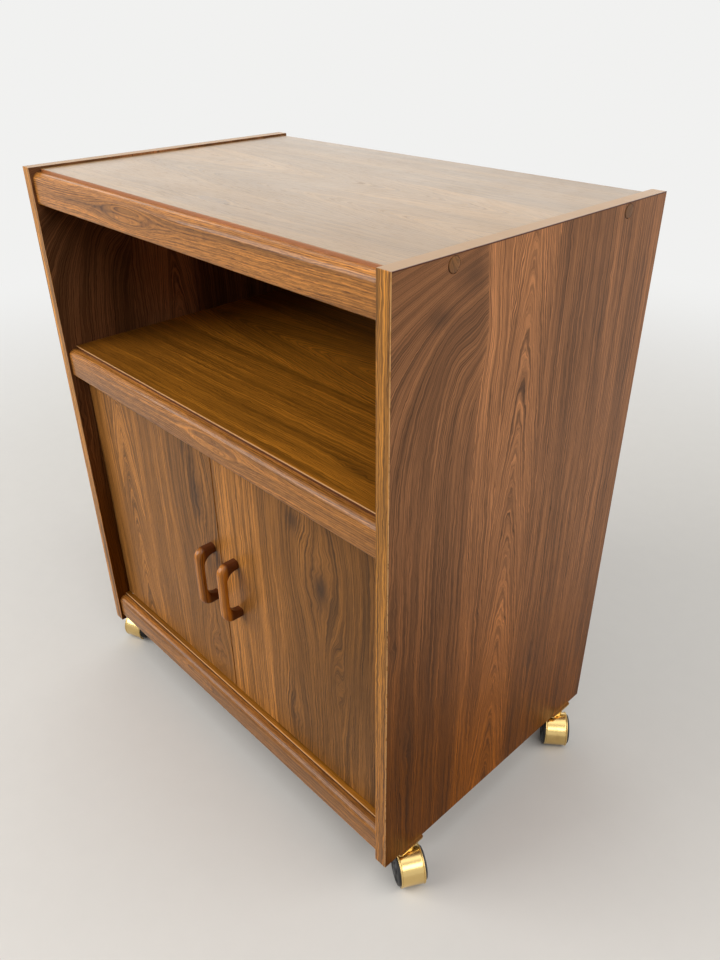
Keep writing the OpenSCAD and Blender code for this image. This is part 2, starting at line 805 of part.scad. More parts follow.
// Wheel: hand is 1 on the +Y side of the web and -1 on the other
module caster_wheel(c, hand) {
    inner = web_t / 2 + wheel_side_gap;
    bore_depth = wheel_w - bore_end;
    color(black_plastic) at_caster(c) translate([trail, hand * inner, wheel_r])
        rotate([hand > 0 ? -90 : 90, 0, 0]) rotate_extrude() difference() {
            polygon([
                [0, 0], [wheel_r - tread_edge, 0], [wheel_r, tread_edge], [wheel_r, wheel_w - shoulder],
                [wheel_r - shoulder + rim_low, wheel_w - rim_low], [wheel_r - rim_in, wheel_w - rim_low],
                [wheel_r - rim_in - 1, wheel_w - dish], [boss_face_r + 1, wheel_w - dish],
                [boss_face_r, wheel_w], [0, wheel_w]
            ]);
            translate([-1, -1]) square([axle_d / 2 + running + 1, bore_depth + 1]);
        }
}

left_side_panel();
right_side_panel();
left_edge_band();
right_edge_band();
top_panel();
middle_shelf();
bottom_panel();
top_rail();
middle_rail();
bottom_rail();
back_panel();
back_nails();
top_screws();
screw_caps();
cam_locks();
cam_bolts();
panel_dowels();
rail_dowels();
left_door();
right_door();
left_pull();
right_pull();
left_pull_screws();
right_pull_screws();
left_pivot_bracket();
right_pivot_bracket();
bracket_screws();
bottom_pivot_pins();
left_door_bushes();
right_door_bushes();
magnetic_catch();
catch_screws();
left_strike_plate();
right_strike_plate();
caster_screws();
caster_kingpins();
caster_plate(FRONT_LEFT);  // front_left_plate
caster_hood(FRONT_LEFT);  // front_left_hood
caster_axle(FRONT_LEFT);  // front_left_axle
caster_wheel(FRONT_LEFT, 1);  // front_left_wheel_a
caster_wheel(FRONT_LEFT, -1);  // front_left_wheel_b
caster_plate(FRONT_RIGHT);  // front_right_plate
caster_hood(FRONT_RIGHT);  // front_right_hood
caster_axle(FRONT_RIGHT);  // front_right_axle
caster_wheel(FRONT_RIGHT, 1);  // front_right_wheel_a
caster_wheel(FRONT_RIGHT, -1);  // front_right_wheel_b
caster_plate(REAR_LEFT);  // rear_left_plate
caster_hood(REAR_LEFT);  // rear_left_hood
caster_axle(REAR_LEFT);  // rear_left_axle
caster_wheel(REAR_LEFT, 1);  // rear_left_wheel_a
caster_wheel(REAR_LEFT, -1);  // rear_left_wheel_b
caster_plate(REAR_RIGHT);  // rear_right_plate
caster_hood(REAR_RIGHT);  // rear_right_hood
caster_axle(REAR_RIGHT);  // rear_right_axle
caster_wheel(REAR_RIGHT, 1);  // rear_right_wheel_a
caster_wheel(REAR_RIGHT, -1);  // rear_right_wheel_b
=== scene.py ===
"""A rolling media cabinet in wood-grain laminate and oak, on brass hooded casters.

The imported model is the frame. The flat boards are copies of their solids with eased edges and a printed
wood grain. The rails, pulls, screw caps, caster hoods and wheels are new meshes that stand for their
solids. The back panel, the caster plates and the small fittings keep theirs.
"""
import json
import logging
import math
from collections.abc import Callable
from dataclasses import dataclass, field
from enum import Enum
from functools import cache
from typing import ClassVar

import bmesh
import bpy
import numpy as np
from mathutils import Matrix, Vector


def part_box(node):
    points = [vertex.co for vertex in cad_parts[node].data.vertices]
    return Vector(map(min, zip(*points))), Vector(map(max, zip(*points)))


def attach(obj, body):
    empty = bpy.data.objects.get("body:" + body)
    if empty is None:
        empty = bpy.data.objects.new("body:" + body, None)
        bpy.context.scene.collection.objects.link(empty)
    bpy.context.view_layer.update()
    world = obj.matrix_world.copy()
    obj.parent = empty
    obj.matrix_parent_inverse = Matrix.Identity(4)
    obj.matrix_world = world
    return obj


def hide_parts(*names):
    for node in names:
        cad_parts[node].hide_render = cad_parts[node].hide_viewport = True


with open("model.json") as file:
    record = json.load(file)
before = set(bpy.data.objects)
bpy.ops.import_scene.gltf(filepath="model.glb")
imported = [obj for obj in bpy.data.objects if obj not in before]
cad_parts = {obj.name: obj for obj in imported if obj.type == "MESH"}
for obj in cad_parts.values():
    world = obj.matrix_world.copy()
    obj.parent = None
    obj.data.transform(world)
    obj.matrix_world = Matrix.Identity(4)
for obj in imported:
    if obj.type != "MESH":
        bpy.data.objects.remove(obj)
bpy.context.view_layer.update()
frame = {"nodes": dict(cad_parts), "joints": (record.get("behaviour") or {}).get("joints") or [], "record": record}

MM = 0.001
LOG = logging.getLogger("cabinet")

Vec = tuple[float, float, float]
Pair = tuple[float, float]
Socket = bpy.types.NodeSocket
X_AXIS: Vec = (1.0, 0.0, 0.0)
Y_AXIS: Vec = (0.0, 1.0, 0.0)
Z_AXIS: Vec = (0.0, 0.0, 1.0)
WHITE: Vec = (1.0, 1.0, 1.0)


class Side(Enum):
    """The two sides of the cabinet, with the sign of their X."""
    LEFT = -1.0
    RIGHT = 1.0

    @property
    def word(self) -> str:
        """The side's name in small letters."""
        return self.name.lower()

    def of(self, part: str) -> str:
        """Return the name of this side's solid of a kind."""
        return f"{self.word}_{part}"


def srgb(red: float, green: float, blue: float) -> Vec:
    """Turn a display colour of 0 to 255 into the linear colour that the shader takes.

    Args:
        red, green, blue: the display values.

    Returns:
        The linear red, green and blue. The formula is the sRGB curve: a straight line near black and
        a power of 2.4 above it.
    """
    def one(value: float) -> float:
        """Turn one display value into its linear value."""
        c = value / 255.0
        return c / 12.92 if c <= 0.04045 else ((c + 0.055) / 1.055) ** 2.4
    return one(red), one(green), one(blue)


def arithmetic(operation: str) -> Callable[["Value", "Value | float"], "Value"]:
    """Make the method of Value that stands for one sign.

    Args:
        operation: the operation of the Math node that the sign adds.

    Returns:
        The method.
    """
    def method(self: "Value", other: "Value | float") -> "Value":
        """Add the Math node and return its result."""
        return self.net.math(operation, self, other)
    return method


@dataclass(frozen=True)
class Value:
    """A value in a node tree. Plain arithmetic with it adds Math nodes to the tree."""
    net: "Net"
    socket: Socket

    __add__ = __radd__ = arithmetic("ADD")
    __mul__ = __rmul__ = arithmetic("MULTIPLY")
    __sub__ = arithmetic("SUBTRACT")
    __truediv__ = arithmetic("DIVIDE")

    def swing(self, reach: float) -> "Value":
        """Carry 0 to 1 on to the span from the reach below zero to the reach above it."""
        return self.net.math("MULTIPLY_ADD", self, 2.0 * reach, -reach)

    def bell(self) -> "Value":
        """Return the height of a bell curve at this squared distance from its middle."""
        return self.net.math("EXPONENT", self * -1.0)


Term = Value | float | Vec


class Net:
    """A node tree, with short calls that add a node and return its output."""

    def __init__(self, tree: bpy.types.NodeTree) -> None:
        """Take a tree over and empty it."""
        self.tree = tree
        tree.nodes.clear()

    def feed(self, socket: Socket, value: Term) -> None:
        """Link a socket to a value of the tree, or set it to a number, a place or a colour.

        Args:
            socket: the node's input.
            value: what it gets.
        """
        if isinstance(value, Value):
            self.tree.links.new(value.socket, socket)
        elif socket.type == "RGBA":
            socket.default_value = (*value, 1.0)
        else:
            socket.default_value = value

    def fill(self, node: bpy.types.Node, **named: Term | str) -> None:
        """Set a node's inputs and properties.

        Args:
            node: the node.
            named: the inputs, by their names with a capital and with underscores in place of spaces,
                and the properties, by their names in small letters.
        """
        for name, value in named.items():
            if name[0].isupper():
                self.feed(node.inputs[name.replace("_", " ")], value)
            else:
                setattr(node, name, value)

    def node(self, kind: str, *values: Term, **named: Term | str) -> bpy.types.Node:
        """Add a node.

        Args:
            kind: its type, without the words that every type begins with.
            values: its first inputs, in order.
            named: its other inputs and its properties, as fill takes them.

        Returns:
            The node.
        """
        node = self.tree.nodes.new(f"ShaderNode{kind}")
        self.fill(node, **named)
        for socket, value in zip(node.inputs, values):
            self.feed(socket, value)
        return node

    def add(self, kind: str, *values: Term, out: int | str = 0, **named: Term | str) -> Value:
        """Add a node, as node does, and return the output with a number or a name."""
        return Value(self, self.node(kind, *values, **named).outputs[out])

    def math(self, operation: str, *values: Value | float) -> Value:
        """Add a Math node and return its result."""
        return self.add("Math", *values, operation=operation)

    def dot(self, place: Value, direction: Vec) -> Value:
        """Return how far a place lies along a direction."""
        return self.add("VectorMath", place, direction, operation="DOT_PRODUCT", out="Value")

    def combine(self, x: Value | float, y: Value | float, z: Value | float) -> Value:
        """Join three values into a vector."""
        return self.add("CombineXYZ", x, y, z)

    def noise(self, place: Value, scale: float | Vec, detail: float = 2.0, roughness: float = 0.5) -> Value:
        """Add fractal noise.

        Args:
            place: where it is looked up.
            scale: its cells per unit of the place, in every direction alike or along each axis.
            detail: how many finer octaves it adds.
            roughness: how strong the finer octaves are.

        Returns:
            The noise, from 0 to 1 with a mean of 0.5.
        """
        if isinstance(scale, tuple):
            place, scale = self.add("VectorMath", place, scale, operation="MULTIPLY"), 1.0
        return self.add("TexNoise", Vector=place, Scale=scale, Detail=detail, Roughness=roughness)

    def hash(self, value: Value) -> Value:
        """Add white noise over one number: each whole number gets its own random value."""
        return self.add("TexWhiteNoise", noise_dimensions="1D", W=value)

    def span(self, value: Value, low: float, high: float, to_low: float = 0.0,
             to_high: float = 1.0) -> Value:
        """Carry the span from low to high on to another one in a smooth step, held at both ends."""
        return self.add("MapRange", interpolation_type="SMOOTHSTEP", Value=value, From_Min=low,
                        From_Max=high, To_Min=to_low, To_Max=to_high)

    def mix(self, factor: Value | float, first: Value | Vec, second: Value | Vec,
            blend: str = "MIX") -> Value:
        """Blend two colours.

        Args:
            factor: how much of the second colour shows.
            first, second: the colour below and the colour above.
            blend: the blend mode.

        Returns:
            The blended colour.
        """
        mixed = self.add("Mix", factor, data_type="RGBA", blend_type=blend, out=2)
        color_inputs = mixed.socket.node.inputs[6:8]
        for socket, color in zip(color_inputs, (first, second)):
            self.feed(socket, color)
        return mixed

    def times(self, color: Value | Vec, by: Value | Vec) -> Value:
        """Multiply a colour by another one or by a plain value."""
        return self.mix(1.0, color, by, "MULTIPLY")

    def seen(self) -> Value:
        """Tell rays that show the room from rays that carry its soft light.

        Returns:
            1 for rays from the camera, in a mirror image or through glass, and 0 for the rest.
        """
        camera, mirror, glass = (self.add("LightPath", out=f"Is {kind} Ray")
                                 for kind in ("Camera", "Glossy", "Transmission"))
        return self.math("MAXIMUM", self.math("MAXIMUM", camera, mirror), glass)


class Paint(Net):
    """The node tree of one material, with its shader."""

    def __init__(self, name: str) -> None:
        """Start the material.

        Args:
            name: the material's name.
        """
        self.material = bpy.data.materials.new(name)
        self.material.use_nodes = True
        super().__init__(self.material.node_tree)
        self.shader = self.node("BsdfPrincipled")
        self.output = self.node("OutputMaterial")
        self.show(self.surface())

    def surface(self) -> Value:
        """Return the shader's output."""
        return Value(self, self.shader.outputs["BSDF"])

    def show(self, surface: Value) -> None:
        """Make a shader the one that the material shows."""
        self.fill(self.output, Surface=surface)

    def place(self) -> Value:
        """Return the Object coordinates of the point, in metres of the cabinet's own frame."""
        return self.add("TexCoord", out="Object")

    def bump(self, height: Value, distance: float) -> None:
        """Drive the shader's normal by a height of 0 to 1, where 1 stands the distance above 0."""
        self.set(Normal=self.add("Bump", Distance=distance, Height=height, out="Normal"))

    def set(self, **values: Term) -> None:
        """Set the shader's inputs, by name as fill takes them."""
        self.fill(self.shader, **values)


@dataclass(frozen=True)
class Plank:
    """One plank of the grain: where it starts across the grain, and how its growth rings lie.

    The rings are cones round a heart line: their field is the distance from the heart line less the
    taper times the height, over the rings' spacing. A heart line inside the plank gives pointed arches,
    and one far outside gives straight grain. The bend pushes the lines across as the height grows.
    """
    start: float
    heart: float
    ring: float
    tone: float = 1.0
    depth: float = 0.03
    taper: float = 0.0
    bend: float = 0.0


@dataclass(frozen=True)
class Knot:
    """A knot: its place, its size across and along the grain, how far it parts the lines, its dark."""
    across: float
    along: float
    wide: float
    long: float
    push: float = 0.0
    dark: float = 0.0


@dataclass(frozen=True)
class Trim:
    """A strip of another colour along an edge, chipped by wear.

    It grows in from start to end, which are counted from the edge, and the edge's own place along the
    direction is given too. A trim can be an edge's own colour, painted shade or a painted highlight.
    """
    direction: Vec
    edge: float
    start: float
    end: float
    color: Vec
    wear: float = 0.0


@dataclass(frozen=True)
class Streaks:
    """Noise drawn out along the grain: its cells per metre across and along, its offset, its octaves."""
    across: float
    along: float
    offset: float
    detail: float


# The cells across of these four are for each thread or band that a finish counts per metre.
THREADS = Streaks(1.0, 4.0, 0.0, 4.0)
FIBRES = Streaks(2.0, 14.0, 8.1, 1.0)
BANDS = Streaks(1.0, 1.4, 3.7, 2.0)
HUES = Streaks(0.6, 1.1, 21.0, 1.0)
# These are the same in every finish.
CLOUDS = Streaks(7.0, 2.5, 44.0, 1.0)
PORES = Streaks(900.0, 90.0, 5.5, 2.0)
RING_SHIFT = Streaks(85.0, 1.6, 31.0, 1.0)
RING_DASHES = Streaks(620.0, 38.0, 17.0, 1.0)
KNOT_FRAY = Streaks(90.0, 30.0, 13.0, 3.0)
PLANK_FRAY = Streaks(9.0, 6.0, 61.0, 3.0)
JAGS = Streaks(95.0, 34.0, 71.0, 2.0)
# Most of a noise's values lie within the first span. The tint grows in over the second.
BUSY: Pair = (0.36, 0.64)
TINTED: Pair = (0.42, 0.62)
# The lines break up over this span of the dashes' noise, and keep this share of their weight there.
DASHED: Pair = (0.36, 0.60)
DASH_LEAST = 0.35
# The early wood's share of a ring, the lightest ring's weight, and the pores' share between the lines.
EARLY_WOOD = 0.18
LEAST_WEIGHT = 0.3
PORES_BETWEEN = 0.3
# How fast the frays eat into a knot's smudge, and what they leave of that where they are least.
FRAY_MOST = 6.5
FRAY_LEAST = 0.52
# Worn chips have edges as soft as this, in the noise's values.
CHIP_EDGE = 0.13
# The first ring's number keeps all numbers above zero, and the stride sets the planks' noise apart.
FIRST_RING = 40.0
PLANK_STRIDE = 37.0
# The cells per metre, across and along, of the slow drift and the quick waver of the lines.
DRIFT = (7.0, 3.2)
WAVER = (28.0, 48.0)


@dataclass(frozen=True)
class Finish:
    """A finish: its material's name, and the record's slot that it is for."""
    name: str
    slot: str

    @cache
    def material(self) -> bpy.types.Material:
        """Make the material at the first call.

        Returns:
            The finished material, the same one at each call.
        """
        net = Paint(self.name)
        self.paint(net, net.place())
        return net.material

    def paint(self, net: Paint, place: Value) -> None:
        """Add the finish's nodes.

        Args:
            net: the material's tree.
            place: the point's place in the cabinet's own frame.
        """
        raise NotImplementedError


@dataclass(frozen=True)
class WoodFinish(Finish):
    """Wood grain over a board, printed or real.

    Lengths are in metres, and shares and shades go from 0 to 1.

    Attributes:
        light, dark: the early and the late wood.
        across, along: the directions of the grain in the cabinet's frame.
        planks, knots: the figure. Their places across are counted from the origin.
        origin: the place across that they are counted from.
        offset: what is added to the place across.
        wander, ripple, jag: how far the lines drift, waver and are notched.
        uneven: how far the rings shift, in rings.
        contrast, thread, band, cloud: how strong the ring lines, the fine threads, the wide bands and
            the clouds are.
        thread_count, band_count: how many threads and bands there are per metre.
        tint, tint_share: the colour of the tinted bands, and how much of it shows.
        bend_at, bend_length: where a plank's bend is whole, and how fast it fades below that height.
        ragged, blend: how ragged and how soft the borders of the planks are.
        low_shade, low_shine: the painted shade that is multiplied into the colour, and the share of the shine,
            that are left at the low end.
        shade_span, shade_lean: between which places along the grain the painted shade and the lost shine grow
        in, and how far the places lean across it.
        pores, pore_span, pore_color: how much the pores show, how many there are, and their colour.
        roughness, smear: how rough the surface is, and how far that varies.
        specular, coat, coat_roughness, relief: its shine, its lacquer and the depth of its pores.
        seed: what sets the noise apart.
        trims: the strips of another colour along the edges.
    """
    light: Vec
    dark: Vec
    across: Vec
    along: Vec
    planks: tuple[Plank, ...]
    knots: tuple[Knot, ...] = ()
    origin: float = 0.0
    offset: float = 0.0
    wander: float = 0.008
    ripple: float = 0.0008
    jag: float = 0.0026
    uneven: float = 0.9
    contrast: float = 0.8
    thread: float = 0.26
    thread_count: float = 640.0
    band: float = 0.2
    band_count: float = 34.0
    cloud: float = 0.12
    tint: Vec = (0.84, 0.84, 0.86)
    tint_share: float = 0.7
    bend_at: float = 0.66
    bend_length: float = 0.050
    ragged: float = 0.005
    blend: float = 0.009
    low_shade: Vec = WHITE
    low_shine: float = 1.0
    shade_span: Pair = (0.0, 0.5)
    shade_lean: float = 0.0
    pores: float = 0.3
    pore_span: Pair = (0.52, 0.66)
    pore_color: Vec = (0.05, 0.02, 0.01)
    roughness: float = 0.4
    smear: float = 0.06
    specular: float = 0.3
    coat: float = 0.0
    coat_roughness: float = 0.12
    relief: float = 0.00003
    seed: float = 0.0
    trims: tuple[Trim, ...] = ()

    def paint(self, net: Paint, place: Value) -> None:
        """Add the grain's nodes.

        Args:
            net: the material's tree.
            place: the point's place in the cabinet's own frame.
        """
        u = net.dot(place, self.across) + self.offset
        v = net.dot(place, self.along)
        parted, smudge = self._knots(u, v)
        flow, density, tone = self._flow(parted, v)
        line = self._lines(flow, v, density)
        thread = net.span(self._streaks(flow, v, THREADS, self.thread_count), *BUSY)
        fibre = self._streaks(flow, v, FIBRES, self.thread_count)
        band = net.span(self._streaks(flow, v, BANDS, self.band_count), *BUSY)
        hue = self._streaks(flow, v, HUES, self.band_count)
        lift = (self._streaks(u, v, CLOUDS).swing(self.cloud) + 1.0) * tone
        for value, reach in ((thread, self.thread), (fibre, self.thread), (band, self.band)):
            lift = lift * (value.swing(reach) + 1.0)
        color = net.times(net.mix(line * self.contrast, self.light, self.dark), lift)
        tinted = net.times(color, self.tint)
        color = net.mix(net.span(hue, *TINTED, 0.0, self.tint_share), color, tinted)
        # Painted shade: towards the low end, as the span and lean set it, the colour is multiplied by low_shade.
        low = net.span(u * self.shade_lean + v, *self.shade_span, 1.0, 0.0)
        color = net.mix(low, color, net.times(color, self.low_shade))
        color = net.mix(smudge, color, self.pore_color)
        near_lines = line * (1.0 - PORES_BETWEEN) + PORES_BETWEEN
        pore = net.span(self._streaks(flow, v, PORES), *self.pore_span) * near_lines
        color = net.mix(pore * self.pores, color, self.pore_color)
        for trim in self.trims:
            color = self._trimmed(place, color, trim)
        rough = net.noise(place, 9.0, 3.0, 0.6).swing(self.smear) + self.roughness
        net.set(Base_Color=color, Roughness=pore * (2.0 * self.smear) + rough, Coat_Weight=self.coat,
                Coat_Roughness=self.coat_roughness, Specular_IOR_Level=self.specular)
        if self.low_shine < 1.0:
            lost = self.specular * (1.0 - self.low_shine)
            net.set(Specular_IOR_Level=low * -lost + self.specular)
        net.bump((fibre - pore) * 0.5, self.relief)

    def _streaks(self, u: Value, v: Value, kind: Streaks, count: float = 1.0) -> Value:
        """Return noise drawn out along the grain.

        Args:
            u: the place across the grain.
            v: the place along the grain.
            kind: its cells, its offset and its octaves.
            count: what its cells across are multiplied by.

        Returns:
            The noise, from 0 to 1.
        """
        net = u.net
        spot = net.combine(u * (kind.across * count), v * kind.along, self.seed + kind.offset)
        return net.noise(spot, 1.0, kind.detail, 0.65)

    def _lines(self, flow: Value, v: Value, density: Value | float) -> Value:
        """Draw the late wood of the growth rings as dark lines of uneven spacing and weight.

        Args:
            flow: the distance from the heart line.
            v: the place along the grain.
            density: the rings per metre.

        Returns:
            The lines, from 0 to 1: within each ring a slow rise and a quick fall, broken into dashes.
        """
        net = v.net
        rings = flow * density + FIRST_RING + self._streaks(flow, v, RING_SHIFT).swing(self.uneven)
        part = net.math("FRACT", rings)
        weight = net.hash(net.math("FLOOR", rings)) * (1.0 - LEAST_WEIGHT) + LEAST_WEIGHT
        early = net.span(part, 0.0, EARLY_WOOD, 1.0, 0.0)
        dashes = net.span(self._streaks(flow, v, RING_DASHES), *DASHED, DASH_LEAST)
        return net.math("MAXIMUM", part * part, early) * weight * dashes

    def _knots(self, u: Value, v: Value) -> tuple[Value, Value | float]:
        """Part the lines round each knot, by a bell of its size times the distance from its middle.

        Args:
            u: the place across the grain.
            v: the place along the grain.

        Returns:
            The place across with the parting, and how much of the knots' dark smudges shows.
        """
        parted: Value = u
        smudge: Value | float = 0.0
        fray = self._streaks(u, v, KNOT_FRAY) * FRAY_MOST + FRAY_LEAST
        for knot in self.knots:
            du = (u - (self.origin + knot.across)) / knot.wide
            dv = (v - knot.along) / knot.long
            away = du * du + dv * dv
            if knot.push:
                parted = parted - away.bell() * du * knot.push
            if knot.dark:
                smudge = u.net.math("MAXIMUM", smudge, (away * fray).bell() * knot.dark)
        return parted, smudge

    def _trimmed(self, place: Value, color: Value, trim: Trim) -> Value:
        """Lay a trim over the colour.

        Args:
            place: the point's place.
            color: the colour so far.
            trim: the trim.

        Returns:
            The colour with the trim.
        """
        net = place.net
        share = net.span(net.dot(place, trim.direction), trim.edge + trim.start, trim.edge + trim.end)
        if trim.wear:
            chips = net.noise(place, 160.0, 2.0, 0.6)
            share = share * net.span(chips, trim.wear - CHIP_EDGE, trim.wear + CHIP_EDGE)
        return net.mix(share, color, trim.color)

    def _flow(self, u: Value, v: Value) -> tuple[Value, Value | float, Value | float]:
        """Work out the distance from the heart line, which is the same all along each line of the grain.

        The traits of each plank after the first are added past its frayed start, the tone softly and
        the rest in a step.

        Args:
            u: the place across the grain.
            v: the place along the grain.

        Returns:
            The distance, the rings per metre and the plank's tone.
        """
        net = u.net
        border = self._streaks(u, v, PLANK_FRAY).swing(self.ragged) + u
        rows = [(self.origin + plank.heart, plank.depth, plank.taper, 1.0 / plank.ring, plank.bend)
                for plank in self.planks]
        traits: list[Value | float] = list(rows[0])
        tone: Value | float = self.planks[0].tone
        for number, plank in enumerate(self.planks[1:]):
            start = self.origin + plank.start
            step = net.math("GREATER_THAN", border, start)
            traits = [step * (new - old) + trait if new != old else trait
                      for trait, old, new in zip(traits, rows[number], rows[number + 1])]
            soft = net.span(border, start - self.blend, start + self.blend)
            tone = soft * (plank.tone - self.planks[number].tone) + tone
        heart, depth, taper, density, bend = traits
        own = heart * PLANK_STRIDE + self.seed
        drift, waver = (net.noise(net.combine(u * cells[0], v * cells[1], own), 1.0)
                        for cells in (DRIFT, WAVER))
        rise = net.math("EXPONENT", (v - self.bend_at) / self.bend_length)
        moved = drift.swing(self.wander) + u + waver.swing(self.ripple) - rise * bend
        out = moved - heart
        away = net.math("SQRT", out * out + depth * depth)
        jag = self._streaks(u, v, JAGS).swing(self.jag)
        return away - v * taper + jag, density, tone


@dataclass(frozen=True)
class MetalFinish(Finish):
    """Plated or bare metal, with fine brushing round or along the piece and faint stains."""
    color: Vec
    stain: Vec
    roughness: float
    brush: Vec = (900.0, 900.0, 40.0)
    clouded: Pair = (0.50, 0.78)
    specked: Pair = (0.72, 0.80)
    cloud_share: float = 0.45
    speck_share: float = 0.4
    haze: float = 0.05
    relief: float = 0.000002

    def paint(self, net: Paint, place: Value) -> None:
        """Add the metal's nodes. Its roughness varies with its clouds and its brushing.

        Args:
            net: the material's tree.
            place: the point's place in the cabinet's own frame.
        """
        cloud = net.noise(place, 45.0, 3.0, 0.6)
        lines = net.noise(place, self.brush)
        speck = net.noise(place, 700.0, 1.0)
        color = net.mix(net.span(cloud, *self.clouded, 0.0, self.cloud_share), self.color, self.stain)
        color = net.mix(net.span(speck, *self.specked, 0.0, self.speck_share), color, self.stain)
        rough = lines * self.haze + (self.roughness - 0.6 * self.haze)
        net.set(Base_Color=color, Metallic=1.0, Roughness=cloud * self.haze + rough)
        net.bump(lines, self.relief)


@dataclass(frozen=True)
class PlasticFinish(Finish):
    """Moulded plastic or a like matt surface, with a fine texture and clouds of dust."""
    color: Vec
    dust: Vec
    roughness: float
    dust_share: float = 0.3
    dusty: Pair = (0.48, 0.72)
    haze: float = 0.09
    grain: float = 1400.0
    relief: float = 0.00003

    def paint(self, net: Paint, place: Value) -> None:
        """Add the plastic's nodes. Its roughness swings by the haze.

        Args:
            net: the material's tree.
            place: the point's place in the cabinet's own frame.
        """
        cloud = net.noise(place, 90.0, 4.0, 0.65)
        color = net.mix(net.span(cloud, *self.dusty, 0.0, self.dust_share), self.color, self.dust)
        net.set(Base_Color=color, Roughness=cloud.swing(self.haze) + self.roughness)
        net.bump(net.noise(place, self.grain), self.relief)


@dataclass(frozen=True)
class FibreFinish(Finish):
    """Pressed fibre board: brown, mottled, with short fibres in every direction."""
    color: Vec
    fleck: Vec
    flecked: Pair = (0.5, 0.72)
    fleck_share: float = 0.8
    cloud: float = 0.2
    roughness: float = 0.55
    relief: float = 0.0001

    def paint(self, net: Paint, place: Value) -> None:
        """Add the fibre board's nodes. It is a little rougher on its flecks.

        Args:
            net: the material's tree.
            place: the point's place in the cabinet's own frame.
        """
        flecks = net.noise(place, 420.0, 4.0, 0.7)
        clouds = net.noise(place, 14.0, 3.0)
        color = net.mix(net.span(flecks, *self.flecked, 0.0, self.fleck_share), self.color, self.fleck)
        color = net.times(color, clouds.swing(self.cloud) + 1.0)
        net.set(Base_Color=color, Roughness=flecks * 0.15 + self.roughness)
        net.bump(flecks, self.relief)


def grid_mesh(name: str, points: np.ndarray, capped: bool = False,
              smooth_angle: float = 35.0) -> bpy.types.Mesh:
    """Make a mesh from a grid of points.

    The grid's faces join each point to the next one in its row, which wraps round, and to the one in
    the next row. A capped grid gets one face over its first and its last row.

    Args:
        name: the mesh's name.
        points: an array of rows by columns by 3, in metres.
        capped: whether the first and the last row are filled.
        smooth_angle: edges sharper than this, in degrees, stay crisp.

    Returns:
        The mesh, with its faces turned outwards.
    """
    rows, columns = points.shape[:2]
    row, column = np.meshgrid(np.arange(rows - 1), np.arange(columns), indexing="ij")
    here, over = row * columns, (column + 1) % columns
    quads = np.stack([here + column, here + columns + column, here + columns + over, here + over], -1)
    faces = quads.reshape(-1, 4).tolist()
    if capped:
        faces.append(np.arange(columns)[::-1].tolist())
        faces.append((np.arange(columns) + (rows - 1) * columns).tolist())
    mesh = bpy.data.meshes.new(name)
    mesh.from_pydata(points.reshape(-1, 3).tolist(), [], faces)
    finish_mesh(mesh, smooth_angle)
    return mesh


def finish_mesh(mesh: bpy.types.Mesh, smooth_angle: float = 35.0) -> None:
    """Merge doubles, drop flat faces, turn the faces outwards and shade them smooth between sharp edges.

    Args:
        mesh: the mesh to finish in place.
        smooth_angle: edges sharper than this, in degrees, stay crisp.
    """
    work = bmesh.new()
    work.from_mesh(mesh)
    bmesh.ops.remove_doubles(work, verts=work.verts, dist=1e-6)
    bmesh.ops.dissolve_degenerate(work, edges=work.edges, dist=1e-7)
    bmesh.ops.recalc_face_normals(work, faces=work.faces)
    work.to_mesh(mesh)
    work.free()
    mesh.shade_smooth()
    mesh.set_sharp_from_angle(angle=math.radians(smooth_angle))
    mesh.update()


def join_meshes(name: str, meshes: list[bpy.types.Mesh]) -> bpy.types.Mesh:
    """Put several meshes into one, as separate shells.

    Args:
        name: the new mesh's name.
        meshes: the meshes, which are used up.

    Returns:
        The joined mesh.
    """
    work = bmesh.new()
    for mesh in meshes:
        work.from_mesh(mesh)
        bpy.data.meshes.remove(mesh)
    joined = bpy.data.meshes.new(name)
    work.to_mesh(joined)
    work.free()
    return joined


def lathe(name: str, profile: np.ndarray, centre: np.ndarray, axis: np.ndarray, steps: int = 96,
          smooth_angle: float = 35.0) -> bpy.types.Mesh:
    """Turn a profile round an axis.

    A point at distance h along the axis and radius r lies at the centre plus h times the axis plus r
    times the cosine and sine of the turn along two directions square to it.

    Args:
        name: the mesh's name.
        profile: rows of (h, r), from one end to the other, in metres.
        centre: the axis's starting point.
        axis: the axis's direction, of unit length.
        steps: how many columns the turn has.
        smooth_angle: edges sharper than this, in degrees, stay crisp.

    Returns:
        The mesh.
    """
    turn = np.linspace(0.0, 2.0 * np.pi, steps, endpoint=False)
    side = np.cross(axis, Z_AXIS if abs(axis[2]) < 0.9 else X_AXIS)
    side = side / np.linalg.norm(side)
    other = np.cross(axis, side)
    ring = np.cos(turn)[:, None] * side + np.sin(turn)[:, None] * other
    points = centre + profile[:, 0, None, None] * axis + profile[:, 1, None, None] * ring[None, :, :]
    return grid_mesh(name, points, smooth_angle=smooth_angle)


def round_corners(outline: list[tuple[float, float, float]], steps: int) -> np.ndarray:
    """Round the corners of a closed outline.

    Each corner of radius r is replaced by an arc that touches both of its sides: it starts and ends at
    r over the tangent of half the corner's angle from the corner.

    Args:
        outline: rows of (a, b, radius), in order.
        steps: the number of parts of an arc.

    Returns:
        The points of the outline, as rows of (a, b).
    """
    corners = np.array(outline, float)
    made: list[np.ndarray] = []
    for k, (a, b, radius) in enumerate(corners):
        here = np.array((a, b))
        to_last = corners[k - 1, :2] - here
        to_next = corners[(k + 1) % len(corners), :2] - here
        to_last /= np.linalg.norm(to_last)
        to_next /= np.linalg.norm(to_next)
        half = math.acos(float(np.clip(to_last @ to_next, -1.0, 1.0))) / 2.0
        middle = (to_last + to_next) / np.linalg.norm(to_last + to_next)
        centre = here + middle * radius / math.sin(half)
        start = here + to_last * radius / math.tan(half) - centre
        end = here + to_next * radius / math.tan(half) - centre
        share = np.linspace(0.0, 1.0, steps + 1)[:, None]
        whole = math.pi - 2.0 * half
        arc = (np.sin((1.0 - share) * whole) * start + np.sin(share * whole) * end) / math.sin(whole)
        made.append(centre + arc)
    return np.concatenate(made)


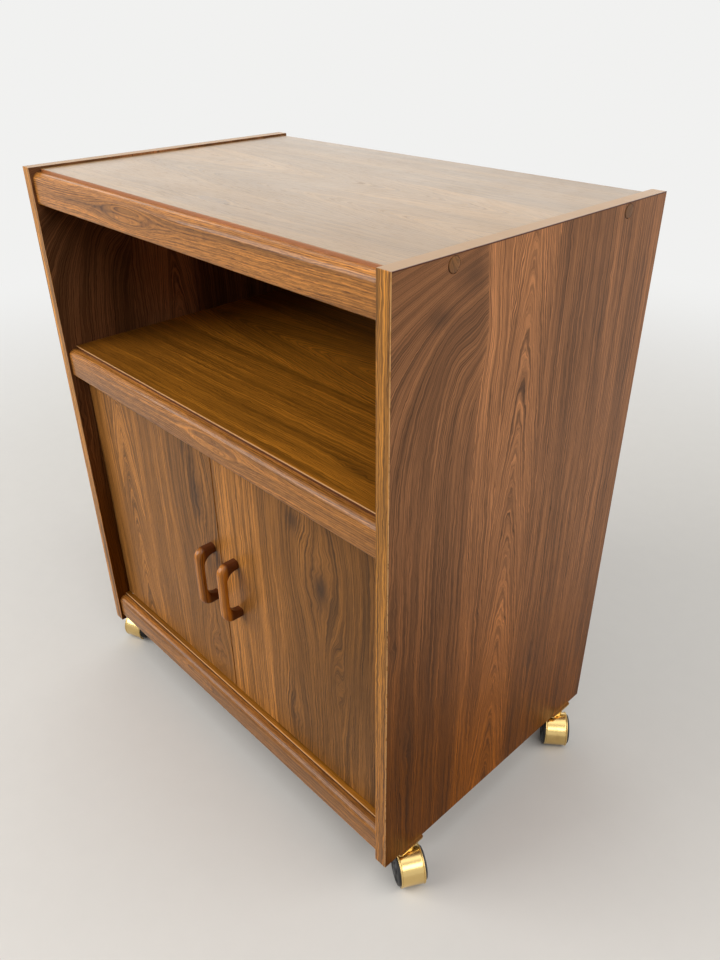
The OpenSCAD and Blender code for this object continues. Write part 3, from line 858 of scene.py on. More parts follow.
def add_object(name: str, data: bpy.types.ID) -> bpy.types.Object:
    """Put a mesh, a lamp or a camera into the scene.

    Args:
        name: the object's name.
        data: its mesh, lamp or camera.

    Returns:
        The new object.
    """
    made = bpy.data.objects.new(name, data)
    bpy.context.scene.collection.objects.link(made)
    return made


def add_piece(name: str, mesh: bpy.types.Mesh, finish: Finish, node: str) -> bpy.types.Object:
    """Put a mesh into the scene as a piece of the cabinet.

    Args:
        name: the piece's name.
        mesh: its mesh, already in place.
        finish: its finish, with the record's slot that it takes it from.
        node: the solid that it stands for, whose body it moves with.

    Returns:
        The new object.
    """
    piece = add_object(name, mesh)
    mesh.materials.append(finish.material())
    body = body_of(node)
    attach(piece, body)
    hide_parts(node)
    LOG.info("piece %s: %d faces, with %s, for %s", name, len(mesh.polygons), body, node)
    return piece


def dress(node: str, finish: Finish) -> None:
    """Give a solid that stays its finish.

    Args:
        node: the solid's name.
        finish: its finish.
    """
    mesh = frame["nodes"][node].data
    mesh.materials.clear()
    mesh.materials.append(finish.material())
    LOG.info("node %s: %s", node, finish.name)


def points_of(mesh: bpy.types.Mesh) -> np.ndarray:
    """Read a mesh's points.

    Args:
        mesh: the mesh.

    Returns:
        Rows of x, y and z, in metres.
    """
    co = np.empty(len(mesh.vertices) * 3, np.float32)
    mesh.vertices.foreach_get("co", co)
    return co.reshape(-1, 3).astype(float)


def ease_board(node: str, finish: Finish, radius: float, square_front: bool = False) -> None:
    """Stand a copy of a board with rounded edges in for its solid, with all the solid's holes.

    The edges that lie on two faces of the board's box are the ones that get rounded, by a bevel.

    Args:
        node: the board's solid.
        finish: its finish.
        radius: the radius of the rounded edges.
        square_front: whether the edges of the front face stay square.
    """
    mesh = frame["nodes"][node].data.copy()
    mesh.name = f"{node}_board"
    mesh.materials.clear()
    finish_mesh(mesh)
    mesh.shade_flat()
    near = 0.01 * MM
    low, high = box_of(node)
    co = points_of(mesh)
    ends = np.empty(len(mesh.edges) * 2, np.int32)
    mesh.edges.foreach_get("vertices", ends)
    first, last = ends.reshape(-1, 2).T
    on_face = (np.abs(co - low) < near) | (np.abs(co - high) < near)
    level = np.abs(co[first] - co[last]) < near
    on_edge = (on_face[first] & on_face[last] & level).sum(1) == 2
    if square_front:
        on_edge &= np.abs(co[first, 1] - low[1]) > near
    weight = mesh.attributes.new("bevel_weight_edge", "FLOAT", "EDGE")
    weight.data.foreach_set("value", on_edge.astype(np.float32))
    piece = add_piece(f"{node}_board", mesh, finish, node)
    bevel = piece.modifiers.new("eased_edges", "BEVEL")
    bevel.width = radius
    bevel.segments = 3
    bevel.limit_method = "WEIGHT"


def box_of(node: str) -> tuple[np.ndarray, np.ndarray]:
    """Return a solid's lowest and highest corner, in metres."""
    low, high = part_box(node)
    return np.array(low), np.array(high)


def joint_of(child: str) -> dict:
    """Return the joint that carries a body."""
    return next(joint for joint in frame["joints"] if joint["child"] == child)


def body_of(node: str) -> str:
    """Return the name of the body that a solid belongs to."""
    bodies = frame["record"]["behaviour"]["bodies"]
    return next(body for body, members in bodies.items() if node in members)


@dataclass
class Boards:
    """The flat boards: side panels, level panels, doors, the back and the edge bands.

    The planks and knots of a side panel, a level panel and a door are counted across from its front
    or from its left edge.
    """
    side_light: Vec = srgb(170, 115, 74)
    side_dark: Vec = srgb(64, 38, 20)
    top_light: Vec = srgb(144, 106, 52)
    top_dark: Vec = srgb(84, 56, 30)
    shelf_light: Vec = srgb(180, 115, 34)
    shelf_dark: Vec = srgb(62, 28, 4)
    door_light: Vec = srgb(166, 110, 52)
    door_dark: Vec = srgb(76, 42, 18)
    band_light: Vec = srgb(206, 138, 56)
    band_dark: Vec = srgb(56, 26, 6)
    # The band's arris is pale from wear, and the pale line is also a painted highlight.
    worn_arris: Vec = srgb(222, 168, 108)
    step_dark: Vec = srgb(98, 54, 26)
    step_light: Vec = srgb(214, 162, 104)
    # The pale arris of a level panel's front edge: the edge's pale colour and a painted highlight.
    end_light: Vec = srgb(172, 136, 98)
    end_dark: Vec = srgb(88, 46, 26)
    # Painted shade, mixed over the inner faces of the side panels.
    inner_dark: Vec = srgb(36, 10, 2)
    groove: Vec = srgb(172, 110, 64)
    rear_edge: Vec = srgb(132, 86, 52)
    smudge: Vec = srgb(62, 43, 29)
    ease: float = 0.7 * MM
    band_ease: float = 0.3 * MM
    edge_lean: float = 0.9

    def side(self, side: Side) -> WoodFinish:
        """Return the grain of a side panel: lines that sweep into a knot at the front, arches behind them.

        Args:
            side: which side panel.

        Returns:
            The finish.
        """
        low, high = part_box("right_side_panel")
        outward = side.value
        planks = (Plank(0.0, -0.40, 0.0028, 0.82, 0.05, 0.0, 0.054),
                  Plank(0.108, 0.60, 0.0026, 1.30, 0.03, 0.01),
                  Plank(0.145, 0.174, 0.0034, 1.48, 0.007, -0.12),
                  Plank(0.207, 0.60, 0.0028, 0.88, 0.03, 0.005),
                  Plank(0.258, 0.70, 0.0030, 0.95))
        knots = (Knot(0.090, 0.655, 0.030, 0.040, 0.020), Knot(0.055, 0.686, 0.030, 0.018, 0.0, 0.50),
                 Knot(0.092, 0.714, 0.034, 0.022, 0.0, 0.45), Knot(0.005, 0.425, 0.012, 0.045, 0.008, 0.40),
                 Knot(0.008, 0.370, 0.010, 0.030, 0.006, 0.30), Knot(0.246, 0.219, 0.014, 0.060, 0.010, 0.40),
                 Knot(0.030, 0.230, 0.016, 0.070, 0.012, 0.25))
        # The first trim is painted shade over the inner face; the others are the edges' own colours.
        trims = (Trim((-outward, 0.0, 0.0), -low.x, -0.35 * MM, 0.45 * MM, self.inner_dark),
                 Trim(Y_AXIS, high.y, -0.3 * MM, -0.1 * MM, self.rear_edge),
                 Trim(Z_AXIS, high.z, -0.3 * MM, -0.1 * MM, self.end_light),
                 Trim((outward, 0.0, 1.0), high.x + high.z, -1.2 * MM, -0.8 * MM, self.end_dark))
        # The low shade is painted shade, darkest at the bottom front, and the shine drops there too.
        return WoodFinish(
            f"side_laminate_{side.word}", "laminate_side", self.side_light, self.side_dark, Y_AXIS, Z_AXIS,
            planks, knots, origin=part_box("right_edge_band")[0].y, wander=0.006, ripple=0.0014,
            contrast=0.75, thread=0.42, band=0.22, tint_share=0.5, low_shade=(0.62, 0.42, 0.06),
            low_shine=0.3, shade_span=(0.06, 0.52), shade_lean=0.5, pore_color=self.smudge,
            roughness=0.38, specular=0.16 if side is Side.RIGHT else 0.08,
            seed=2.0 if side is Side.RIGHT else 31.0, trims=trims)

    def top(self) -> WoodFinish:
        """Return the grain of the top panel: planks from left to right, with soft arches.

        Returns:
            The finish.
        """
        planks = (Plank(0.0, -0.30, 0.0026, 1.0, 0.03, 0.01),
                  Plank(0.085, 0.125, 0.0036, 0.97, 0.006, 0.13),
                  Plank(0.160, 0.198, 0.0036, 1.03, 0.006, -0.15),
                  Plank(0.235, 0.60, 0.0026, 0.90, 0.03, 0.005),
                  Plank(0.310, -0.20, 0.0028, 0.80, 0.03, 0.01))
        knots = (Knot(0.044, 0.006, 0.014, 0.05, 0.016, 0.15), Knot(0.180, -0.162, 0.014, 0.04, 0.016, 0.15))
        return WoodFinish(
            "top_laminate", "laminate_top", self.top_light, self.top_dark, Y_AXIS, X_AXIS, planks, knots,
            origin=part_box("top_panel")[0].y, wander=0.010, contrast=0.55, thread=0.16, band=0.12,
            tint_share=0.3, pores=0.2, pore_color=self.smudge, roughness=0.32, specular=0.5, seed=11.0,
            trims=self.edge_trims("top_panel"))

    def shelf(self, node: str) -> WoodFinish:
        """Return the grain of the middle shelf or of the cabinet floor.

        Args:
            node: which of the two.

        Returns:
            The finish.
        """
        planks = (Plank(0.0, -0.40, 0.0024, 1.0, 0.03, 0.01), Plank(0.090, 0.60, 0.0026, 1.05),
                  Plank(0.150, 0.215, 0.0052, 1.45, 0.006, 0.14),
                  Plank(0.270, -0.20, 0.0026, 1.05, 0.03, 0.01))
        knots = (Knot(0.040, 0.215, 0.012, 0.060, 0.010, 0.60), Knot(0.028, 0.265, 0.010, 0.035, 0.008, 0.50))
        # The low shade is painted shade towards the left end.
        return WoodFinish(
            f"{node}_laminate", "laminate_shelf", self.shelf_light, self.shelf_dark, Y_AXIS, X_AXIS,
            planks, knots, origin=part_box(node)[0].y, contrast=0.85, thread=0.34, tint_share=0.3,
            low_shade=(0.82, 0.80, 0.82), shade_span=(-0.29, -0.05), pore_color=srgb(48, 26, 8),
            roughness=0.34, seed=23.0, trims=self.edge_trims(node))

    def edge_trims(self, node: str) -> tuple[Trim, ...]:
        """Draw the front edge of a level panel.

        Args:
            node: the panel.

        Returns:
            The dark edge and, but for the top panel, the pale arris over it, which is partly a painted highlight.
        """
        low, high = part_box(node)
        color = self.groove if node == "top_panel" else self.step_dark
        dark = Trim((0.0, -1.0, 0.0), -low.y, -0.3 * MM, -0.1 * MM, color)
        # The pale arris is the edge's own pale colour and a painted highlight.
        light = Trim((0.0, -1.0, 1.0), high.z - low.y, -1.0 * MM, -0.7 * MM, self.step_light)
        return (dark,) if node == "top_panel" else (dark, light)

    def door(self, side: Side) -> WoodFinish:
        """Return the grain of a door: upright lines that part round dark knots.

        The place across leans backwards, so that the lines run on over the door's thin edges.

        Args:
            side: which door.

        Returns:
            The finish.
        """
        if side is Side.LEFT:
            planks = (Plank(0.0, -0.40, 0.0028, 0.86), Plank(0.022, -0.40, 0.0030, 1.08),
                      Plank(0.050, 0.072, 0.0038, 1.08, 0.006, -0.14), Plank(0.100, -0.40, 0.0028, 1.08),
                      Plank(0.200, -0.40, 0.0032, 0.95))
            knots = (Knot(0.252, 0.390, 0.050, 0.110, 0.036), Knot(0.246, 0.385, 0.026, 0.075, 0.0, 0.75),
                     Knot(0.228, 0.450, 0.014, 0.040, 0.0, 0.45), Knot(0.254, 0.130, 0.034, 0.075, 0.040),
                     Knot(0.256, 0.300, 0.012, 0.040, 0.0, 0.6))
        else:
            planks = (Plank(0.0, -0.40, 0.0030, 1.28), Plank(0.090, -0.40, 0.0030, 0.92),
                      Plank(0.125, -0.40, 0.0034, 0.78))
            knots = (Knot(0.18425, 0.395, 0.050, 0.085, 0.042),
                     Knot(0.18725, 0.372, 0.022, 0.045, 0.0, 0.85),
                     Knot(0.14625, 0.440, 0.022, 0.026, 0.008, 0.65),
                     Knot(0.21325, 0.262, 0.016, 0.060, 0.018),
                     Knot(0.13225, 0.140, 0.024, 0.060, 0.020, 0.35))
        low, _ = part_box(side.of("door"))
        return WoodFinish(
            f"door_laminate_{side.word}", "laminate_door", self.door_light, self.door_dark,
            (1.0, self.edge_lean, 0.0), Z_AXIS, planks, knots, origin=low.x, offset=-self.edge_lean * low.y,
            wander=0.006, contrast=0.6, thread=0.50, tint_share=0.4, pore_color=self.smudge,
            roughness=0.36, specular=0.14, seed=40.0 + side.value)

    def band(self) -> WoodFinish:
        """Return the grain of the front edge bands: strong straight upright lines and a light arris.

        Returns:
            The finish of both bands.
        """
        low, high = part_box("right_edge_band")
        # The trim is the worn, pale arris and a painted highlight along it.
        trims = (Trim((1.0, -1.0, 0.0), high.x - low.y, -1.3 * MM, -0.7 * MM, self.worn_arris, 0.40),)
        # The low shade is painted shade towards the bottom.
        return WoodFinish(
            "oak_band", "oak_band", self.band_light, self.band_dark, X_AXIS, Z_AXIS,
            (Plank(0.0, -2.0, 0.0034, 1.0, 0.02, 0.002),), wander=0.0012, ripple=0.0004, uneven=0.8,
            contrast=1.0, thread=0.5, thread_count=420.0, band=0.3, band_count=90.0,
            low_shade=(0.72, 0.68, 0.74), shade_span=(0.10, 0.45), pores=0.6,
            pore_color=srgb(80, 44, 14), seed=57.0, trims=trims)

    def build(self) -> None:
        """Round the edges of each board and give it its grain."""
        for side in Side:
            ease_board(side.of("side_panel"), self.side(side), self.ease, square_front=True)
            ease_board(side.of("door"), self.door(side), self.ease)
        ease_board("top_panel", self.top(), self.ease)
        for node in ("middle_shelf", "bottom_panel"):
            ease_board(node, self.shelf(node), self.ease)
        for side in Side:
            ease_board(side.of("edge_band"), self.band(), self.band_ease)
        dress("back_panel", FibreFinish("hardboard", "hardboard", srgb(58, 42, 30), srgb(34, 24, 18)))


@dataclass
class Rails:
    """The three rails: one oak moulding with a large round-over at its top front edge."""
    top_round: float = 8.0 * MM
    foot_round: float = 3.0 * MM
    back_round: float = 0.3 * MM
    round_steps: int = 14
    lengths: int = 8
    light: Vec = srgb(198, 130, 58)
    dark: Vec = srgb(80, 40, 12)
    lean: float = 0.9
    # The lower rails are darker: painted shade on one and the same oak.
    tones: tuple[tuple[str, float], ...] = (("top_rail", 1.0), ("middle_rail", 0.88), ("bottom_rail", 0.82))

    def finish(self, node: str, seed: float, tone: float) -> WoodFinish:
        """Return the oak of one rail.

        The place across leans backwards, so that the grain runs on over the rail's top.

        Args:
            node: the rail's solid.
            seed: what sets its grain apart.
            tone: how light it is. The middle and bottom rails get lower tones as painted shade.

        Returns:
            Lacquered oak with fine pores and one long figure.
        """
        low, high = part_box(node)
        return WoodFinish(
            f"oak_{node}", "oak_rail", self.light, self.dark, (0.0, self.lean, 1.0), X_AXIS,
            (Plank(0.0, -0.070, 0.0024, tone, 0.006, 0.020),),
            (Knot(0.002, -0.02 + 0.06 * math.sin(seed), 0.011, 0.060, 0.020),),
            origin=(low.z + high.z) / 2.0 + self.lean * low.y, wander=0.006, ripple=0.0004, jag=0.0006,
            contrast=0.9, thread=0.3, thread_count=420.0, band=0.16, band_count=70.0, tint_share=0.4,
            pores=0.9, pore_span=(0.47, 0.58), pore_color=srgb(84, 46, 18), roughness=0.34,
            specular=0.15, coat=0.30, coat_roughness=0.07, relief=0.00001, seed=seed)

    def build(self) -> None:
        """Carry the moulding's outline along X and dress each rail.

        A point of the surface is the outline's point, as (y, z), at its place along X.
        """
        for number, (node, tone) in enumerate(self.tones):
            low, high = box_of(node)
            outline = round_corners([
                (low[1], low[2], self.foot_round), (low[1], high[2], self.top_round),
                (high[1], high[2], self.back_round), (high[1], low[2], self.back_round)], self.round_steps)
            points = np.empty((self.lengths + 1, len(outline), 3))
            points[:, :, 0] = np.linspace(low[0], high[0], self.lengths + 1)[:, None]
            points[:, :, 1:] = outline[None, :, :]
            mesh = grid_mesh(f"{node}_moulding", points, capped=True, smooth_angle=25.0)
            add_piece(f"{node}_moulding", mesh, self.finish(node, 61.0 + 3.0 * number, tone), node)


@dataclass
class Pulls:
    """The two D-shaped wooden pulls."""
    grip: float = 9.0 * MM
    foot: float = 12.0 * MM
    outer_round: float = 13.0 * MM
    inner_round: float = 15.0 * MM
    front_round: float = 4.5 * MM
    back_round: float = 3.0 * MM
    round_steps: int = 8
    path_steps: int = 20
    across: Vec = (0.8, 0.9, 0.0)
    along: Vec = (0.0, 0.1, 1.0)
    light: Vec = srgb(200, 122, 34)
    dark: Vec = srgb(88, 42, 10)
    # Painted shade for the pulls' feet near the door.
    foot_dark: Vec = srgb(90, 44, 15)

    def finish(self, side: Side) -> WoodFinish:
        """Return the gloss-lacquered oak of one pull, darker towards the door.

        Args:
            side: the door that the pull is on.

        Returns:
            The finish.
        """
        _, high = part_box(side.of("pull"))
        return WoodFinish(
            f"oak_pull_{side.word}", "oak_pull", self.light, self.dark, self.across, self.along,
            (Plank(0.0, -0.50, 0.0034, 1.0, 0.01, 0.01),), wander=0.003, ripple=0.0006, contrast=0.9,
            thread_count=420.0, band_count=120.0, pore_color=srgb(80, 36, 12), roughness=0.30,
            specular=0.06, coat=0.45, coat_roughness=0.05, relief=0.00001, seed=77.0,
            # This trim is painted shade on the feet, darkest at the door.
            trims=(Trim(Y_AXIS, high.y, -20.0 * MM, -14.0 * MM, self.foot_dark),))

    def side_line(self, reach: float, half: float, radius: float) -> np.ndarray:
        """Follow one line of the pull's side view, from the upper foot round to the lower foot.

        It is straight out from the door, round a quarter circle, straight down, round another and
        straight back. Both lines have the same number of points in each stretch.

        Args:
            reach: how far the line stands from the door.
            half: half of its height.
            radius: the radius of its corners.

        Returns:
            Rows of (distance from the door, height from the middle).
        """
        share = np.linspace(0.0, 1.0, self.path_steps, endpoint=False)
        out = np.stack([share * (reach - radius), np.full_like(share, half)], -1)
        turn = share * np.pi / 2.0
        bend = np.stack([reach - radius + radius * np.sin(turn), half - radius + radius * np.cos(turn)], -1)
        down = np.stack([np.full_like(share, reach), (half - radius) * (1.0 - share)], -1)
        upper = np.concatenate([out, bend, down])
        lower = upper[::-1] * np.array((1.0, -1.0))
        return np.concatenate([upper, [(reach, 0.0)], lower])

    def build(self) -> None:
        """Sweep a rounded section between the pull's outer and inner line.

        The section is a rectangle, with large rounds at the outer line and small ones at the inner
        line. It is spread over the thickness between the two lines and over the pull's width.
        """
        low, high = box_of("right_pull")
        half_w, half_t = float(high[0] - low[0]) / 2.0, self.grip / 2.0
        section = round_corners([(-half_w, -half_t, self.back_round), (half_w, -half_t, self.back_round),
                                 (half_w, half_t, self.front_round), (-half_w, half_t, self.front_round)],
                                self.round_steps)
        wide, thick = section[:, 0] / half_w, section[:, 1] / half_t
        for side in Side:
            node = side.of("pull")
            low, high = box_of(node)
            reach, half = high[1] - low[1], (high[2] - low[2]) / 2.0
            middle = (low + high) / 2.0
            outer = self.side_line(reach, half, self.outer_round)
            inner = self.side_line(reach - self.grip, half - self.foot, self.inner_round)
            centre, spread = (outer + inner) / 2.0, (outer - inner) / 2.0
            side_view = centre[:, None, :] + thick[None, :, None] * spread[:, None, :]
            points = np.empty((len(outer), len(section), 3))
            points[:, :, 0] = middle[0] + wide[None, :] * half_w
            points[:, :, 1] = high[1] - side_view[:, :, 0]
            points[:, :, 2] = middle[2] + side_view[:, :, 1]
            mesh = grid_mesh(f"{node}_grip", points, capped=True, smooth_angle=30.0)
            add_piece(f"{node}_grip", mesh, self.finish(side), node)


@dataclass
class ScrewCaps:
    """The round caps over the screws at the ends of the top panel, sunk into the side panels."""
    crown: float = 0.15 * MM
    disc: float = 1.3 * MM
    stem_in: float = 1.6 * MM
    rim: float = 0.4 * MM
    light: Vec = srgb(138, 92, 48)
    dark: Vec = srgb(60, 34, 16)

    def finish(self) -> WoodFinish:
        """Return the caps' own small print of grain, yellower than the board's.

        Returns:
            The finish.
        """
        return WoodFinish(
            "cap_grain", "cap_brown", self.light, self.dark, Y_AXIS, Z_AXIS,
            (Plank(0.0, -0.118, 0.0022, 1.0, 0.004, 0.35),), wander=0.002, ripple=0.0006, contrast=0.9,
            thread_count=900.0, band_count=260.0, roughness=0.42, seed=83.0)

    def boxes(self) -> list[tuple[np.ndarray, np.ndarray]]:
        """Part the caps' solid into its caps, one near each upright edge of the cabinet.

        Returns:
            The lowest and highest corner of each cap.
        """
        co = points_of(frame["nodes"]["screw_caps"].data)
        right, rear = (co[:, :2] > (co.min(0) + co.max(0))[:2] / 2.0).T
        caps = [co[(right == on_right) & (rear == at_rear)]
                for on_right in (False, True) for at_rear in (False, True)]
        return [(cap.min(0), cap.max(0)) for cap in caps]

    def build(self) -> None:
        """Turn a crowned button for each cap.

        The crown falls off with the square of the distance from the middle, and the rim is rounded.
        """
        meshes = []
        for low, high in self.boxes():
            outward = math.copysign(1.0, low[0])
            foot = (low if outward > 0.0 else high)[0]
            radius = (high[1] - low[1]) / 2.0
            stem = radius - self.stem_in
            length = high[0] - low[0]
            seat = length - self.disc
            share = np.linspace(1.0, 0.0, 8)
            crown = np.stack([length - self.crown * share ** 2, (radius - self.rim) * share], -1)
            profile = np.concatenate([[(0.0, 0.0), (0.0, stem), (seat, stem), (seat, radius),
                                       (length - 2.0 * self.crown, radius)], crown])
            centre = np.array((foot, *((low + high) / 2.0)[1:]))
            meshes.append(lathe("cap", profile, centre, outward * np.array(X_AXIS), 64))
        mesh = join_meshes("screw_cap_buttons", meshes)
        add_piece("screw_cap_buttons", mesh, self.finish(), "screw_caps")


@dataclass
class Caster:
    """One hooded twin-wheel caster, worked out from its joints and its solids' boxes.

    The flat span says where the hood's extra points stand beside each bead, in bead radii. INNER, DISH
    and HUB are rows of the wheel's section in millimetres: how far in from the wheel's inner or outer
    face, and how far from the tread, or for the hub from the axle.
    """
    place: str
    sheet: float = 1.2 * MM
    bead: float = 0.9 * MM
    bead_sink: float = 0.3 * MM
    rear_turn: float = math.radians(188.0)
    web: float = 5.0 * MM
    hub: float = 7.0 * MM
    boss: float = 8.0 * MM
    boss_foot: float = 12.0 * MM
    boss_edge: float = 0.8 * MM
    hood_gap: float = 1.2 * MM
    web_lap: float = 0.4 * MM
    arc_steps: int = 72
    bead_steps: int = 12
    hub_steps: int = 16
    shoulder: float = 2.6 * MM
    rim_lip: float = 0.5 * MM
    bore: float = 3.2 * MM
    flat: Pair = (2.4, 3.2)
    INNER: ClassVar[tuple[Pair, ...]] = ((0.0, 1.2), (0.4, 0.4), (1.2, 0.0))
    DISH: ClassVar[tuple[Pair, ...]] = ((0.5, 4.2), (1.0, 4.8), (1.9, 5.2))
    HUB: ClassVar[tuple[Pair, ...]] = (
        (1.9, 7.6), (1.4, 7.0), (0.3, 6.4), (0.0, 5.8), (0.0, 2.2), (0.6, 1.8), (0.6, 0.0))
    axle: np.ndarray = field(init=False)
    pivot: np.ndarray = field(init=False)
    trail: np.ndarray = field(init=False)
    across: np.ndarray = field(init=False)
    wheel_r: float = field(init=False)
    hood_low: float = field(init=False)
    hood_width: float = field(init=False)

    def __post_init__(self) -> None:
        """Read the caster's axes from its joints, and the hood's size from its solid."""
        swivel = joint_of(f"{self.place}_swivel")
        wheel = joint_of(f"{self.place}_wheel_a_body")
        self.axle = np.array(wheel["pos_m"], float)
        self.pivot = np.array(swivel["pos_m"], float)
        self.across = np.array(wheel["axis"], float)
        self.across /= np.linalg.norm(self.across)
        self.trail = np.cross(self.across, Z_AXIS)
        self.wheel_r = float(self.axle[2])
        low, high = self.reach_of(f"{self.place}_hood")
        self.hood_width = high - low
        self.hood_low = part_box(f"{self.place}_hood")[0].z

    def reach_of(self, node: str) -> tuple[float, float]:
        """Return how far a solid reaches along the axle, to both sides of the caster's middle."""
        reach = (points_of(frame["nodes"][node].data) - self.axle) @ self.across
        return float(reach.min()), float(reach.max())

    def at(self, side: np.ndarray, radius: np.ndarray, turn: np.ndarray) -> np.ndarray:
        """Return points round the axle.

        Args:
            side: the distances along the axle.
            radius: the distances from it.
            turn: the angles above the trail's direction, in radians.

        Returns:
            The axle's middle plus side times the axle, plus the radius times the cosine along the trail
            and the sine upwards.
        """
        return (self.axle + side[..., None] * self.across + (radius * np.cos(turn))[..., None] * self.trail
                + (radius * np.sin(turn))[..., None] * np.array(Z_AXIS))

    def arc(self, radius: float) -> np.ndarray:
        """Return the turns round the axle from the hood's front edge to its rear edge, at a radius."""
        start = -math.asin((self.wheel_r - self.hood_low) / radius)
        return np.linspace(start, self.rear_turn, self.arc_steps)

    def strip(self) -> bpy.types.Mesh:
        """Carry the hood's section round the wheels.

        The section is a thin sheet with a round bead along each edge, given as (side, radius) points.
        The points beside the beads keep the sheet's shading flat.

        Returns:
            The bent strip, closed at both ends.
        """
        inner = self.wheel_r + self.hood_gap
        outer = inner + self.sheet
        half = self.hood_width / 2.0
        turn = np.linspace(-0.25 * np.pi, np.pi, self.bead_steps)
        right = np.stack([half - self.bead + self.bead * np.cos(turn),
                          outer - self.bead_sink + self.bead * np.sin(turn)], -1)
        left = right[::-1] * np.array((-1.0, 1.0))
        flat = half - np.array(self.flat) * self.bead
        sheet = [(side, outer) for side in (*flat, *-flat[::-1])]
        section = np.concatenate([[(half, inner)], right, sheet, left, [(-half, inner)]])
        points = self.at(section[None, :, 0], section[None, :, 1], self.arc(outer)[:, None])
        return grid_mesh("strip", points, capped=True, smooth_angle=40.0)

    def web_disc(self) -> bpy.types.Mesh:
        """Make the web between the wheels: a slice of a disc inside the strip, closed round the hub.

        Returns:
            The web, as thick as its field says.
        """
        rim = self.wheel_r + self.hood_gap + self.web_lap
        rim_turn = self.arc(rim)
        hub_turn = np.linspace(self.rear_turn, 2.0 * np.pi + rim_turn[0], self.hub_steps)[1:-1]
        turn = np.concatenate([rim_turn, hub_turn])
        radius = np.repeat((rim, self.hub), (len(rim_turn), len(hub_turn)))
        sides = np.array((-0.5, 0.5)) * self.web
        return grid_mesh("web", self.at(sides[:, None], radius[None, :], turn[None, :]), capped=True)

    def boss_post(self) -> bpy.types.Mesh:
        """Turn the boss that stands on the hood under the plate.

        Returns:
            The boss, with an eased upper edge.
        """
        top = box_of(f"{self.place}_hood")[1][2]
        foot = self.wheel_r + self.boss_foot
        edge = self.boss_edge
        profile = np.array(((foot, 0.0), (foot, self.boss), (top - edge, self.boss),
                            (top - 0.3 * edge, self.boss - 0.3 * edge), (top, self.boss - edge), (top, 0.0)))
        return lathe("boss", profile, self.pivot * (1.0, 1.0, 0.0), np.array(Z_AXIS), 48)

    def hood(self, brass: Finish) -> None:
        """Join the strip, the web and the boss into the hood.

        Args:
            brass: the hood's finish.
        """
        name = f"{self.place}_hood"
        mesh = join_meshes(f"{name}_casting", [self.strip(), self.web_disc(), self.boss_post()])
        add_piece(f"{name}_casting", mesh, brass, name)

    def wheel(self, letter: str, black: Finish) -> None:
        """Turn one wheel, with rounded shoulders, a raised rim, a dished face and a hub.

        Args:
            letter: a or b, as in the solid's name.
            black: the wheel's finish.
        """
        name = f"{self.place}_wheel_{letter}"
        low, high = self.reach_of(name)
        hand = 1.0 if low + high > 0 else -1.0
        half_gap = min(abs(low), abs(high))
        width, r = high - low, self.wheel_r
        turn = np.linspace(0.0, np.pi / 2.0, 8)
        inner = np.array(self.INNER) * MM * (1.0, -1.0) + (0.0, r)
        shoulder = np.stack([width - self.shoulder - self.rim_lip + self.shoulder * np.sin(turn),
                             r - self.shoulder + self.shoulder * np.cos(turn)], -1)
        dish = np.array(self.DISH) * -MM + (width, r)
        hub = np.array(self.HUB) * MM * (-1.0, 1.0) + (width, 0.0)
        profile = np.concatenate([[(0.0, self.bore)], inner, shoulder, dish, hub])
        mesh = lathe(f"{name}_tyre", profile, self.axle + hand * half_gap * self.across,
                     hand * self.across, smooth_angle=30.0)
        add_piece(f"{name}_tyre", mesh, black, name)

    def build(self, brass: Finish, black: Finish, steel: Finish) -> None:
        """Make the hood and wheels and dress the rest.

        Args:
            brass: the finish of the hood and the plate.
            black: the finish of the wheels.
            steel: the finish of the axle.
        """
        self.hood(brass)
        for letter in "ab":
            self.wheel(letter, black)
        dress(f"{self.place}_plate", brass)
        dress(f"{self.place}_axle", steel)


@dataclass
class Fittings:
    """The small fittings that keep their solids: screws, pins, dowels, bushes and the catch."""
    steel_nodes: tuple[str, ...] = (
        "back_nails", "top_screws", "cam_locks", "cam_bolts", "left_pull_screws", "right_pull_screws",
        "left_pivot_bracket", "right_pivot_bracket", "bracket_screws", "bottom_pivot_pins", "catch_screws",
        "left_strike_plate", "right_strike_plate", "caster_kingpins")
    nylon_nodes: tuple[str, ...] = ("left_door_bushes", "right_door_bushes", "magnetic_catch")
    beech_nodes: tuple[str, ...] = ("panel_dowels", "rail_dowels")
    brass_nodes: tuple[str, ...] = ("caster_screws",)

    def build(self, steel: Finish, brass: Finish) -> None:
        """Dress each fitting.

        Args:
            steel: the finish of the steel ones.
            brass: the finish of the caster screws.
        """
        nylon = PlasticFinish("nylon", "nylon", srgb(236, 230, 214), srgb(204, 192, 168), 0.42, 0.4)
        beech = WoodFinish("beech", "beech", srgb(222, 186, 140), srgb(188, 146, 100), Y_AXIS, X_AXIS,
                           (Plank(0.0, -0.5, 0.0012, 1.0, 0.01, 0.01),), wander=0.001, contrast=0.5,
                           thread_count=900.0, roughness=0.6, seed=91.0)
        for nodes, finish in ((self.steel_nodes, steel), (self.nylon_nodes, nylon),
                              (self.beech_nodes, beech), (self.brass_nodes, brass)):
            for node in nodes:
                dress(node, finish)


@dataclass(frozen=True)
class Lamp:
    """A soft rectangular lamp. Its power is in watts."""
    name: str
    place: Vec
    width: float
    height: float
    power: float
    color: Vec

    def hang(self, aim: Vec) -> None:
        """Hang the lamp.

        Args:
            aim: the place that it points at.
        """
        data = bpy.data.lights.new(self.name, "AREA")
        data.shape = "RECTANGLE"
        data.size, data.size_y = self.width, self.height
        data.energy = self.power
        data.color = self.color
        lamp = add_object(self.name, data)
        lamp.location = self.place
        lamp.rotation_euler = (Vector(aim) - Vector(self.place)).to_track_quat("-Z", "Y").to_euler()


